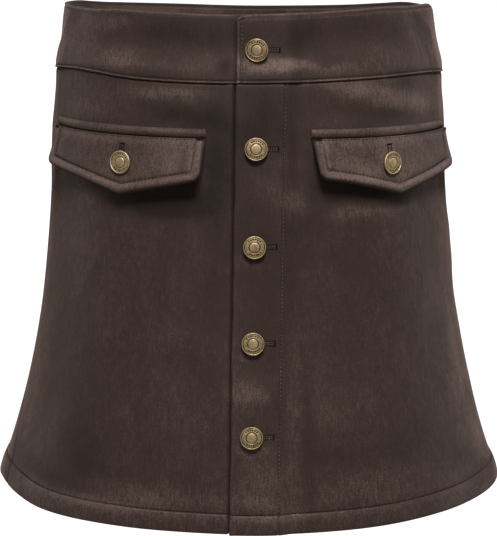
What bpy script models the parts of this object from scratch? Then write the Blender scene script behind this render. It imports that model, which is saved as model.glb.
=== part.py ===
# A-line mini skirt in faux suede, buttoned down the front, hollow and open as it is worn.
# Metres, +Z up, -Y is the front and +X the wearer's left. The origin is the centre of the waist
# at the waistband's mid height, where the wearer's waist holds the skirt.

import math
from collections import namedtuple

import bmesh
import bpy
from mathutils import Vector

MM = 0.001

# ---------------------------------------------------------------- driving sizes
GAP = 0.4 * MM                  # clearance between pieces that meet or lie on each other

CLOTH_WALL = 1.6 * MM           # one layer of the bonded cloth
FACED_WALL = 3.0 * MM           # the same with its facing or turn-up behind it
BAND_WALL = 2.8 * MM            # waistband: two layers and a stiffener
BAND_PROUD = 0.5 * MM           # the band's face stands out this far over the panels

RIM_HEIGHT = 27.0 * MM          # level that the waist edge table is measured from
HEM_HEIGHT = -367.5 * MM        # level that the hem edge table is measured from
HEM_TURN_UP = 16.0 * MM

# the front line through the buttons leans a little over its height
FRONT_LINE_AT_WAIST = 4.3 * MM
FRONT_LINE_SLOPE = 0.0183

PLACKET_EDGE = -15.8 * MM       # from the front line to the overlap's free edge
PLACKET_STITCH = 21.5 * MM      # and to the end of its facing
PLACKET_EASE = 12.0 * MM        # beyond it the cloth comes back down to the panel's level
UNDERLAP_END = 14.0 * MM        # the under layer's free edge
LAP_START = PLACKET_EDGE - 3.0 * MM     # from here the under layer follows the placket
BAND_LAP_END = 26.0 * MM        # the band's overlap keeps its level up to here
BAND_LAP_EASE = 22.0 * MM
BAND_CORNER = 5.0 * MM          # rounded top corner of the band's overlapping end

BUTTON_HEIGHTS = [0.0] + [(-74.0 - 73.0 * i) * MM for i in range(4)]

WELT_HEIGHT = 7.0 * MM
WELT_RISE = 2.6 * MM
FLAP_WALL = 2.8 * MM
FLAP_CORNER = 6.0 * MM          # rounding of the flap's lower corners
FLAP_POINT_ROUND = 5.0 * MM

# ---------------------------------------------------------------- tables
# Level outlines of the hollow body, in millimetres. Roundness 2 is an ellipse, more is squarer.
Section = namedtuple("Section", "height half_width front back roundness")
SECTIONS = [
    Section(35, 146.6, 104.5, 96.5, 2.05),
    Section(13, 149.9, 107.6, 101.4, 2.07),
    Section(1, 151.7, 109.3, 104.1, 2.08),
    Section(-9, 153.9, 111.4, 107.0, 2.09),
    Section(-19, 156.4, 114.3, 109.9, 2.10),
    Section(-27, 157.0, 116.0, 112.2, 2.10),
    Section(-43, 157.4, 118.7, 115.6, 2.11),
    Section(-73, 159.4, 123.8, 122.0, 2.12),
    Section(-123, 162.0, 130.3, 129.9, 2.15),
    Section(-173, 166.3, 135.7, 133.9, 2.15),
    Section(-223, 172.5, 142.2, 136.8, 2.12),
    Section(-273, 182.2, 150.8, 138.8, 2.08),
    Section(-313, 192.5, 157.2, 141.7, 2.05),
    Section(-348, 203.5, 161.6, 144.7, 2.0),
    Section(-371, 212.9, 163.7, 146.6, 2.0),
]

# Edge lines round the body: height in millimetres over the level at an angle from the front.
Edge = namedtuple("Edge", "angle height")
WAIST_EDGE = [Edge(-130, -5.2), Edge(-90, -0.8), Edge(-50, -0.2), Edge(0, -2.3), Edge(50, 1.4),
              Edge(90, -1.4), Edge(130, -7.0), Edge(180, -11.2)]
BAND_SEAM = [Edge(-130, -58.0), Edge(-90, -52.5), Edge(-60, -47.5), Edge(-30, -51.6), Edge(0, -53.0),
             Edge(30, -51.8), Edge(60, -51.6), Edge(90, -56.6), Edge(130, -60.0), Edge(180, -63.0)]
HEM_EDGE = [Edge(-90, 2.0), Edge(-45, 0.0), Edge(0, -0.8), Edge(45, 0.0), Edge(90, 1.5), Edge(180, 1.0)]

# Soft lengthwise folds: they start at a height, grow to their depth at the hem and stand out
# where the depth is positive.
Fold = namedtuple("Fold", "angle spread depth start")
FOLDS = [
    Fold(-50, 13, 3.0, -150),
    Fold(-14, 11, -2.2, -190),
    Fold(29, 12, 2.6, -170),
    Fold(62, 11, -2.0, -200),
    Fold(112, 13, 4.5, -120),
    Fold(136, 10, -3.0, -150),
    Fold(157, 11, 4.0, -130),
    Fold(-178, 11, -3.0, -160),
    Fold(-153, 12, 4.5, -110),
    Fold(-127, 11, -3.0, -150),
    Fold(-106, 10, 3.5, -140),
]

# The side seams, as angles from the front at heights; the left one of the picture swings
# forward towards the hem.
SeamPoint = namedtuple("SeamPoint", "height right_side left_side")
SIDE_SEAMS = [
    SeamPoint(35, -89.0, 89.0),
    SeamPoint(-223, -89.0, 88.5),
    SeamPoint(-273, -87.0, 88.0),
    SeamPoint(-302, -83.0, 87.5),
    SeamPoint(-328, -78.5, 87.0),
    SeamPoint(-351, -74.7, 86.5),
    SeamPoint(-371, -72.0, 86.0),
]

# Pocket flaps, in millimetres along the cloth from the centre front. Lifts are the space behind
# the flap at its two lower corners and its point.
Flap = namedtuple("Flap", "name side inner width seam tilt slant flare side_drop point_drop point_at "
                          "inner_lift point_lift outer_lift button_arc button_height")
FLAPS = [
    Flap("right", -1, 34.8, 145.0, -66.4, 0.0, 6.0, 3.0, 30.0, 43.0, 0.47, 7.0, 4.0, 6.5, 100.5, -87.0),
    Flap("left", 1, 45.5, 143.0, -67.3, -3.2, 4.0, 0.5, 30.0, 44.0, 0.50, 7.0, 4.0, 6.0, 109.3, -89.0),
]

SUEDE = (0.046, 0.031, 0.027)
SUEDE_INSIDE = (0.036, 0.025, 0.022)
ANTIQUE_BRASS = (0.36, 0.27, 0.13)


# ---------------------------------------------------------------- scene
for thing in list(bpy.data.objects):
    bpy.data.objects.remove(thing, do_unlink=True)

skirt = bpy.data.collections.new("faux_suede_skirt")
bpy.context.scene.collection.children.link(skirt)


def material(name, colour, roughness, metallic=0.0):
    made = bpy.data.materials.new(name)
    made.use_nodes = True
    shader = made.node_tree.nodes["Principled BSDF"]
    shader.inputs["Base Color"].default_value = (*colour, 1.0)
    shader.inputs["Roughness"].default_value = roughness
    shader.inputs["Metallic"].default_value = metallic
    return made


# ---------------------------------------------------------------- the body's surface
def smooth_table(points, at, wrap=None):
    # smooth curve through (place, value) pairs, with each tangent from its two neighbours
    points = sorted(points)
    if wrap:
        low, high = points[0][0], points[-1][0]
        at = low + (at - low) % wrap
        points = ([(p - wrap, v) for p, v in points[-2:]] + points
                  + [(p + wrap, v) for p, v in points[:2]])
    at = min(max(at, points[0][0]), points[-1][0])
    i = 0
    while i < len(points) - 2 and at > points[i + 1][0]:
        i += 1

    def slope(k):
        before, after = points[max(k - 1, 0)], points[min(k + 1, len(points) - 1)]
        return (after[1] - before[1]) / (after[0] - before[0])

    (p0, v0), (p1, v1) = points[i], points[i + 1]
    span = p1 - p0
    u = (at - p0) / span
    return ((2 * u ** 3 - 3 * u ** 2 + 1) * v0 + (u ** 3 - 2 * u ** 2 + u) * span * slope(i)
            + (3 * u ** 2 - 2 * u ** 3) * v1 + (u ** 3 - u ** 2) * span * slope(i + 1))


def eased(u):
    u = min(max(u, 0.0), 1.0)
    return u * u * (3 - 2 * u)


def fold_depth(angle, height):
    depth = 0.0
    for fold in FOLDS:
        away = (angle - fold.angle + 180) % 360 - 180
        start = fold.start * MM
        grown = eased((start - height) / (start - HEM_HEIGHT))
        depth += fold.depth * MM * grown * math.exp(-(away / fold.spread) ** 2)
    return depth


section_columns = {name: [(row.height * MM, getattr(row, name)) for row in SECTIONS]
                   for name in ("half_width", "front", "back", "roundness")}


def outline_point(angle, height):
    # a superellipse whose front and back halves have their own depth
    half_width = smooth_table(section_columns["half_width"], height) * MM
    turn = math.radians(angle)
    across, along = math.sin(turn), math.cos(turn)
    half = section_columns["front" if along > 0 else "back"]
    depth = smooth_table(half, height) * MM
    power = 2 / smooth_table(section_columns["roundness"], height)
    x = half_width * math.copysign(abs(across) ** power, across)
    y = -depth * math.copysign(abs(along) ** power, along)
    return Vector((x, y, height))


def outline_normal(angle, height):
    step_angle, step_height = 0.5, 1 * MM
    round_it = outline_point(angle + step_angle, height) - outline_point(angle - step_angle, height)
    up_it = outline_point(angle, height + step_height) - outline_point(angle, height - step_height)
    return round_it.cross(up_it).normalized()


def on_body(angle, height, out=0.0):
    # the point of the cloth at an angle from the front and a height, moved out square to it
    normal = outline_normal(angle, height)
    return outline_point(angle, height) + normal * (out + fold_depth(angle, height))


def angle_at_x(x, height):
    # near the front the width across tells the angle
    half_width = smooth_table(section_columns["half_width"], height) * MM
    roundness = smooth_table(section_columns["roundness"], height)
    return math.copysign(math.degrees(math.asin((abs(x) / half_width) ** (roundness / 2))), x)


def angle_at_arc(arc, height):
    # walks round the level outline until the length along the cloth is used up
    step = math.copysign(1.5, arc)
    left, angle, here = abs(arc), 0.0, outline_point(0, height)
    while True:
        there = outline_point(angle + step, height)
        length = (there - here).length
        if length >= left:
            return angle + step * left / length
        left -= length
        angle, here = angle + step, there


def waist_height(angle):
    return RIM_HEIGHT + smooth_table(WAIST_EDGE, angle, wrap=360) * MM


def seam_height(angle):
    return RIM_HEIGHT + smooth_table(BAND_SEAM, angle, wrap=360) * MM


def hem_height(angle):
    return HEM_HEIGHT + smooth_table(HEM_EDGE, angle, wrap=360) * MM


def side_seam(height, column):
    return smooth_table([(row.height * MM, getattr(row, column)) for row in SIDE_SEAMS], height)


def front_line(height):
    return FRONT_LINE_AT_WAIST + FRONT_LINE_SLOPE * height


def front_angle(offset, height):
    # the angle of a line that runs beside the buttons at a set distance
    return angle_at_x(front_line(height) + offset, height)


# ---------------------------------------------------------------- cloth pieces
def cloth_piece(name, columns, rows, place, wall, skin, wall_at=None):
    # a flat grid is moved onto its place, columns from left to right and rows from top to
    # bottom, and Solidify gives it its wall on the inner side
    mesh = bpy.data.meshes.new(name)
    piece = bpy.data.objects.new(name, mesh)
    skirt.objects.link(piece)
    last_column, last_row = len(columns) - 1, len(rows) - 1
    bm = bmesh.new()
    bmesh.ops.create_grid(bm, x_segments=last_column, y_segments=last_row, size=1)
    shares = {}
    for vert in bm.verts:
        column = columns[round((vert.co.x + 1) / 2 * last_column)]
        row = rows[last_row - round((vert.co.y + 1) / 2 * last_row)]
        vert.co = place(column, row)
        shares[vert.index] = wall_at(column, row) / wall if wall_at else 1.0
    bm.to_mesh(mesh)
    bm.free()
    mesh.shade_smooth()
    mesh.materials.append(skin)
    thick = piece.modifiers.new("wall", "SOLIDIFY")
    thick.thickness = wall
    thick.offset = -1
    if wall_at:
        group = piece.vertex_groups.new(name="wall")
        for index, share in shares.items():
            group.add([index], min(share, 1.0), "REPLACE")
        thick.vertex_group = group.name
    return piece


def spread(low, high, steps):
    return [low + (high - low) * i / steps for i in range(steps + 1)]


def panel_height(angle, row):
    # row 0 is the seam under the band; the last rows keep their distance to the hem
    top = seam_height(angle) - HALF_GAP
    kind, value = row
    if kind == "share":
        return top + (hem_height(angle) + HEM_TURN_UP + FACED_STEP - top) * value
    return hem_height(angle) + value


HALF_GAP = GAP / 2
FACED_STEP = 1.0 * MM                   # the wall goes from one layer to two over this length
PANEL_ROWS = [("share", share) for share in (0, 0.06, 0.12, 0.19, 0.27, 0.36, 0.45, 0.54, 0.63, 0.72,
                                             0.81, 0.9, 1)]
PANEL_ROWS += [("above_hem", HEM_TURN_UP), ("above_hem", HEM_TURN_UP / 2), ("above_hem", 0.0)]


def hem_wall(row, plain):
    return FACED_WALL if row[0] == "above_hem" else plain


def settle(find_angle, find_height, height):
    # a column's angle depends on its height and the seam's height on the angle
    for _ in range(3):
        angle = find_angle(height)
        height = find_height(angle)
    return angle, height


def underlap_panel(skin):
    # the picture's left front: side seam to the free edge under the placket
    columns = [("side", share) for share in spread(0, 1, 18)[:-1]]
    columns += [("front", offset) for offset in spread(LAP_START, UNDERLAP_END, 3)]

    def place(column, row):
        kind, value = column

        def find_angle(height):
            if kind == "front":
                return front_angle(value, height)
            start = front_angle(LAP_START, height)
            side = side_seam(height, "right_side") + seam_gap_angle(height)
            return side + (start - side) * value

        angle, height = settle(find_angle, lambda a: panel_height(a, row), HEM_HEIGHT / 2)
        return on_body(angle, height)

    return cloth_piece("front_panel_underlap", columns, PANEL_ROWS, place, FACED_WALL, skin,
                       lambda column, row: hem_wall(row, CLOTH_WALL))


def seam_gap_angle(height):
    # half the clearance at a side seam, as an angle
    depth = smooth_table(section_columns["front"], height) * MM
    return math.degrees(HALF_GAP / depth)


PLACKET_LEVEL = FACED_WALL + GAP        # the overlap's face over the under panel's


def placket_lift(offset):
    return PLACKET_LEVEL * (1 - eased((offset - PLACKET_STITCH) / PLACKET_EASE))


def overlap_panel(skin):
    # the picture's right front: the placket with its facing, then the panel to the side seam
    step_end = PLACKET_STITCH + FACED_STEP
    last_front = PLACKET_STITCH + PLACKET_EASE
    columns = [("front", offset) for offset in spread(PLACKET_EDGE, PLACKET_STITCH, 5)]
    columns += [("front", offset) for offset in spread(step_end, last_front, 3)]
    columns += [("side", share) for share in spread(0, 1, 17)[1:]]

    def place(column, row):
        kind, value = column

        def find_angle(height):
            if kind == "front":
                return front_angle(value, height)
            start = front_angle(last_front, height)
            side = side_seam(height, "left_side") - seam_gap_angle(height)
            return start + (side - start) * value

        angle, height = settle(find_angle, lambda a: panel_height(a, row), HEM_HEIGHT / 2)
        return on_body(angle, height, placket_lift(value) if kind == "front" else 0.0)

    def wall_at(column, row):
        kind, value = column
        faced = kind == "front" and value < PLACKET_STITCH + FACED_STEP / 2
        return FACED_WALL if faced else hem_wall(row, CLOTH_WALL)

    return cloth_piece("front_panel_overlap", columns, PANEL_ROWS, place, FACED_WALL, skin, wall_at)


def back_panel(skin):
    columns = spread(0, 1, 38)

    def place(share, row):
        def find_angle(height):
            start = side_seam(height, "left_side") + seam_gap_angle(height)
            end = 360 + side_seam(height, "right_side") - seam_gap_angle(height)
            return start + (end - start) * share

        angle, height = settle(find_angle, lambda a: panel_height(a, row), HEM_HEIGHT / 2)
        return on_body(angle, height)

    return cloth_piece("back_panel", columns, PANEL_ROWS, place, FACED_WALL, skin,
                       lambda column, row: hem_wall(row, CLOTH_WALL))


BAND_ROWS = (0, 0.12, 0.28, 0.44, 0.58, 0.7, 0.82, 0.92, 1)


def band_height(angle, share):
    bottom = seam_height(angle) + HALF_GAP
    return waist_height(angle) + (bottom - waist_height(angle)) * share


def band_piece(name, columns, place, skin):
    return cloth_piece(name, columns, BAND_ROWS, place, BAND_WALL, skin)


def band_under(skin):
    # the picture's left waistband, down to the free end under the overlap
    columns = [("side", share) for share in spread(0, 1, 16)[:-1]]
    columns += [("front", offset) for offset in spread(LAP_START, UNDERLAP_END, 3)]

    def place(column, share):
        kind, value = column

        def find_angle(height):
            if kind == "front":
                return front_angle(value, height)
            start = front_angle(LAP_START, height)
            side = side_seam(height, "right_side") + seam_gap_angle(height)
            return side + (start - side) * value

        angle, height = settle(find_angle, lambda a: band_height(a, share), 0.0)
        return on_body(angle, height, BAND_PROUD)

    return band_piece("waistband_underlap", columns, place, skin)


def band_over(skin):
    # the picture's right waistband, whose free end lies over the other and has a rounded corner
    level = BAND_WALL + GAP
    corner_end = PLACKET_EDGE + BAND_CORNER
    last_front = BAND_LAP_END + BAND_LAP_EASE
    columns = [("front", PLACKET_EDGE + BAND_CORNER * share) for share in (0, 0.2, 0.5)]
    columns += [("front", offset) for offset in spread(corner_end, BAND_LAP_END, 4)]
    columns += [("front", offset) for offset in spread(BAND_LAP_END, last_front, 3)[1:]]
    columns += [("side", share) for share in spread(0, 1, 14)[1:]]

    def place(column, share):
        kind, value = column

        def find_angle(height):
            if kind == "front":
                return front_angle(value, height)
            start = front_angle(last_front, height)
            side = side_seam(height, "left_side") - seam_gap_angle(height)
            return start + (side - start) * value

        def find_height(angle):
            if kind == "side":
                return band_height(angle, share)
            inside = min(max(1 - (value - PLACKET_EDGE) / BAND_CORNER, 0.0), 1.0)
            cut = BAND_CORNER * (1 - math.sqrt(1 - inside ** 2))
            top, bottom = waist_height(angle) - cut, seam_height(angle) + HALF_GAP
            return top + (bottom - top) * share

        angle, height = settle(find_angle, find_height, 0.0)
        out = BAND_PROUD
        if kind == "front":
            out += level * (1 - eased((value - BAND_LAP_END) / BAND_LAP_EASE))
        return on_body(angle, height, out)

    return band_piece("waistband_overlap", columns, place, skin)


def band_back(skin):
    columns = spread(0, 1, 34)

    def place(column, share):
        def find_angle(height):
            start = side_seam(height, "left_side") + seam_gap_angle(height)
            end = 360 + side_seam(height, "right_side") - seam_gap_angle(height)
            return start + (end - start) * column

        angle, height = settle(find_angle, lambda a: band_height(a, share), 0.0)
        return on_body(angle, height, BAND_PROUD)

    return band_piece("waistband_back", columns, place, skin)


# ---------------------------------------------------------------- pockets
def flap_seam_height(flap, along):
    return (flap.seam + flap.tilt * along) * MM


def welt(flap, skin):
    # the rounded strip over the flap; its inner side lies flat on the panel
    columns = spread(0, 1, 18)
    rows = (0, 0.12, 0.35, 0.65, 0.88, 1)

    def rise(share):
        return WELT_RISE * (0.45 + 0.55 * math.sqrt(max(1 - (2 * share - 1) ** 2, 0.0)))

    def place(along, share):
        height = flap_seam_height(flap, along) + HALF_GAP + WELT_HEIGHT * (1 - share)
        arc = flap.side * (flap.inner - 0.5 + (flap.width + 1) * along) * MM
        return on_body(angle_at_arc(arc, height), height, GAP + rise(share))

    ordered = columns if flap.side > 0 else columns[::-1]
    return cloth_piece("pocket_welt_" + flap.name, ordered, rows, place, WELT_RISE, skin,
                       lambda column, row: rise(row))


def flap_lift(flap, along, down):
    lifts = [(0.0, flap.inner_lift), (flap.point_at, flap.point_lift), (1.0, flap.outer_lift)]
    return GAP + FLAP_WALL + smooth_table(lifts, along) * MM * down ** 1.4


def flap_drop(flap, along):
    # length of the flap below its seam: two straight slopes to a blunt point, round corners
    width = flap.width * MM
    away = abs(along - flap.point_at) * width
    reach = (flap.point_at if along < flap.point_at else 1 - flap.point_at) * width
    blunt = math.hypot(away, FLAP_POINT_ROUND) - FLAP_POINT_ROUND
    fall = (flap.point_drop - flap.side_drop) * MM / reach
    drop = flap.point_drop * MM - fall * blunt
    inside = 1 - min(along, 1 - along) * width / FLAP_CORNER
    if inside > 0:
        drop -= FLAP_CORNER * (1 - math.sqrt(1 - min(inside, 1.0) ** 2))
    return drop


def pocket_flap(flap, skin):
    corner = FLAP_CORNER / (flap.width * MM)
    columns = [0, corner * 0.12, corner * 0.45] + spread(corner, flap.point_at, 7)
    columns += spread(flap.point_at, 1 - corner, 7)[1:] + [1 - corner * 0.45, 1 - corner * 0.12, 1]
    rows = (0, 0.16, 0.33, 0.5, 0.66, 0.8, 0.92, 1)

    def place(along, down):
        top = flap_seam_height(flap, along) - HALF_GAP
        height = top - flap_drop(flap, along) * down
        lean = (flap.slant * (1 - along) + flap.flare * along) * down
        arc = flap.side * (flap.inner + flap.width * along + lean) * MM
        return on_body(angle_at_arc(arc, height), height, flap_lift(flap, along, down))

    ordered = columns if flap.side > 0 else columns[::-1]
    return cloth_piece("pocket_flap_" + flap.name, ordered, rows, place, FLAP_WALL, skin)


# ---------------------------------------------------------------- buttons
# half profiles as (radius, height over the cloth), from the middle of the face outwards
BUTTON_FACE = [(0, 4.3), (4.5, 4.3), (4.9, 3.9), (5.3, 4.1), (7.7, 3.9), (8.1, 4.4), (8.8, 4.3),
               (9.0, 3.7), (8.4, 2.8), (3.2, 2.2), (3.2, 0.0), (0, 0.0)]
TACK_FACE = [(0, 1.3), (3.2, 1.1), (4.5, 0.4), (4.3, 0.0), (0, 0.0)]


def turned(name, profile, steps, base, normal, metal):
    mesh = bpy.data.meshes.new(name)
    mesh.from_pydata([(radius * MM, 0, height * MM) for radius, height in profile],
                     [(i, i + 1) for i in range(len(profile) - 1)], [])
    mesh.materials.append(metal)
    piece = bpy.data.objects.new(name, mesh)
    skirt.objects.link(piece)
    spin = piece.modifiers.new("turn", "SCREW")
    spin.steps = spin.render_steps = steps
    spin.use_merge_vertices = True
    spin.merge_threshold = 0.00001
    spin.use_smooth_shade = True
    piece.location = base
    piece.rotation_mode = "QUATERNION"
    piece.rotation_quaternion = normal.to_track_quat("Z", "Y")
    return piece


def button(name, angle, height, face, inner_face, metal):
    # the cap stands just off the outer cloth and its tack's back just off the inner side
    normal = outline_normal(angle, height)
    turned("button_" + name, BUTTON_FACE, 22, on_body(angle, height, face + GAP), normal, metal)
    turned("tack_" + name, TACK_FACE, 14, on_body(angle, height, inner_face - 2 * GAP), -normal, metal)


# ---------------------------------------------------------------- build
suede = material("faux_suede", SUEDE, 0.85)
suede_inside = material("faux_suede_facing", SUEDE_INSIDE, 0.9)
brass = material("antique_brass", ANTIQUE_BRASS, 0.38, 1.0)

underlap_panel(suede)
overlap_panel(suede)
back_panel(suede)
band_under(suede)
band_over(suede)
band_back(suede)

for flap in FLAPS:
    welt(flap, suede)
    pocket_flap(flap, suede)

for number, height in enumerate(BUTTON_HEIGHTS, start=1):
    on_band = number == 1
    face = BAND_PROUD + BAND_WALL + GAP if on_band else PLACKET_LEVEL
    inner_face = BAND_PROUD - BAND_WALL if on_band else -CLOTH_WALL
    button("front_%d" % number, front_angle(0.0, height), height, face, inner_face, brass)

for flap in FLAPS:
    height = flap.button_height * MM
    along = (flap.button_arc - flap.inner) / flap.width
    down = (flap_seam_height(flap, along) - height) / flap_drop(flap, along)
    angle = angle_at_arc(flap.side * flap.button_arc * MM, height)
    button("flap_" + flap.name, angle, height, flap_lift(flap, along, down), -CLOTH_WALL, brass)
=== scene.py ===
# Dresses the faux suede skirt: fine cloth shells with folds and seams, thread, buttonholes,
# brass buttons, brushed nap. Lengths are in millimetres until a point goes into a mesh.
import math

import bmesh
import bpy
import numpy as np
from mathutils import Matrix, Vector


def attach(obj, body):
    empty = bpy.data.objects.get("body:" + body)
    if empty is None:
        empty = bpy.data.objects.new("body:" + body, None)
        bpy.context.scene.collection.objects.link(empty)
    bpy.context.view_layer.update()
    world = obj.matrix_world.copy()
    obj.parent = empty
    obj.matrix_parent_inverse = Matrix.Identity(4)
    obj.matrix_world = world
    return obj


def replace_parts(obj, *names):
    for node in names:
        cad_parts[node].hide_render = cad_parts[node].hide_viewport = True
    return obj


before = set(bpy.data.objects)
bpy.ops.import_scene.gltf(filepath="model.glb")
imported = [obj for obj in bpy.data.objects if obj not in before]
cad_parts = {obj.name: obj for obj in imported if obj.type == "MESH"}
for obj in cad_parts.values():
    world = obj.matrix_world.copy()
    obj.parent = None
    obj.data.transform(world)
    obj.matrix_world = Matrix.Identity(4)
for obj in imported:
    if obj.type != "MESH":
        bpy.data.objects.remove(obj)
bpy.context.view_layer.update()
mm = 0.001

# the shape under the cloth, the same numbers as the solids have
body = {
    # level outlines: height, half width, depth to the front, depth to the back, roundness
    "sections": [
        (-371, 212.9, 163.7, 146.6, 2.0), (-348, 203.5, 161.6, 144.7, 2.0),
        (-313, 192.5, 157.2, 141.7, 2.05), (-273, 182.2, 150.8, 138.8, 2.08),
        (-223, 172.5, 142.2, 136.8, 2.12), (-173, 166.3, 135.7, 133.9, 2.15),
        (-123, 162.0, 130.3, 129.9, 2.15), (-73, 159.4, 123.8, 122.0, 2.12),
        (-43, 157.4, 118.7, 115.6, 2.11), (-27, 157.0, 116.0, 112.2, 2.10),
        (-19, 156.4, 114.3, 109.9, 2.10), (-9, 153.9, 111.4, 107.0, 2.09),
        (1, 151.7, 109.3, 104.1, 2.08), (13, 149.9, 107.6, 101.4, 2.07),
        (35, 146.6, 104.5, 96.5, 2.05)],
    # edge lines: angle from the front, height over the level of that edge
    "rimLevel": 27.0,
    "waistEdge": [(-160, -9.0), (-130, -5.0), (-120, -3.1), (-110, -1.1), (-98, -0.3), (-90, 0.2),
                  (-82, 0.4), (-50, -0.2), (0, -2.3), (50, 1.4), (75, 1.0), (83, -1.8), (90, -5.0),
                  (97, -5.4), (109, -4.1), (119, -4.1), (130, -6.2), (145, -9.0), (160, -10.4),
                  (180, -10.9)],
    "bandSeam": [(-130, -58.0), (-90, -52.5), (-60, -47.5), (-30, -51.6), (0, -53.0),
                 (30, -51.8), (60, -51.6), (90, -56.6), (130, -60.0), (180, -63.0)],
    "hemLevel": -367.5,
    "hemEdge": [(-90, 0.8), (-78, 3.0), (-65, 1.4), (-52, -0.9), (-30, -1.3), (0, -1.8), (45, -1.6),
                (70, -1.8), (90, -1.6), (180, 1.0)],
    # lengthwise folds: angle, spread, depth at the hem, height where they start
    "folds": [(-50, 13, 3.0, -150), (-14, 11, -2.2, -190), (29, 12, 2.6, -170),
              (62, 11, -2.0, -200), (112, 13, 4.5, -120), (136, 10, -3.0, -150),
              (157, 11, 4.0, -130), (-178, 11, -3.0, -160), (-153, 12, 4.5, -110),
              (-127, 11, -3.0, -150), (-106, 10, 3.5, -140)],
    # side seams: height, angle of the one on the picture's left, angle of the other
    "sideSeams": [(-371, -72.0, 86.0), (-351, -74.7, 86.5), (-328, -78.5, 87.0),
                  (-302, -83.0, 87.5), (-273, -87.0, 88.0), (-223, -89.0, 88.5),
                  (35, -89.0, 89.0)],
    "frontLine": 4.3,           # the line through the buttons, at the waist
    "frontLean": 0.0183,        # and how far it leans over its height
}

# creases and soft dents in the cloth: from and to as (angle, height), half width, height of
# the ridge, or depth of the trough where it is negative
creases = [
    # waistband, from the picture's left to its right
    ((-70, 24), (-84, -16), 5, 1.3),
    ((-62, 26), (-77, -10), 7, -0.9),
    ((-60, -10), (-24, -15), 8, 0.9),
    ((-46, 6), (-10, 2), 11, -1.1),
    ((12, -13), (52, -15), 8, 0.9),
    ((12, 8), (48, 6), 11, -1.0),
    ((60, 24), (73, -2), 5, 1.2),
    ((56, 20), (64, -6), 7, -0.8),
    # panels between the band and the flaps
    ((-34, -36), (-14, -42), 8, 0.8),
    ((-26, -52), (-8, -60), 9, -0.9),
    ((28, -33), (62, -50), 8, 1.0),
    ((18, -48), (60, -60), 7, -1.0),
    # placket and the fronts below the flaps
    ((-2, -100), (16, -132), 10, 0.8),
    ((16, -124), (46, -134), 12, 0.8),
    ((-4, -252), (8, -262), 9, 0.8),
    ((-40, -212), (-12, -226), 14, 0.9),
    ((-20, -256), (-36, -300), 14, 0.8),
    ((16, -286), (34, -256), 14, 0.8),
    ((62, -250), (80, -310), 10, 1.2),
    ((22, -318), (56, -322), 16, -0.9),
    ((-62, -270), (-48, -330), 14, -0.9),
    # at the sides
    ((-88, 2), (-88, -34), 13, -1.0),
    ((-88, -62), (-88, -108), 14, 1.0),
    ((87, -50), (87, -80), 13, 0.9),
    ((88, -150), (88, -190), 15, 1.5),
    ((88, -225), (88, -300), 15, 0.8),
    # round the back
    ((100, 8), (118, -14), 6, 0.9),
    ((150, 10), (205, 4), 10, -0.9),
    ((104, -60), (128, -96), 9, 0.9),
    ((-112, -52), (-130, -90), 9, 0.9),
    ((142, -70), (176, -84), 12, -0.9),
    ((-170, -66), (-138, -76), 12, -0.8),
    ((150, -128), (196, -140), 14, 0.8),
    ((122, -190), (150, -236), 13, 0.9),
    ((-120, -180), (-144, -222), 13, 0.8),
]

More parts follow.
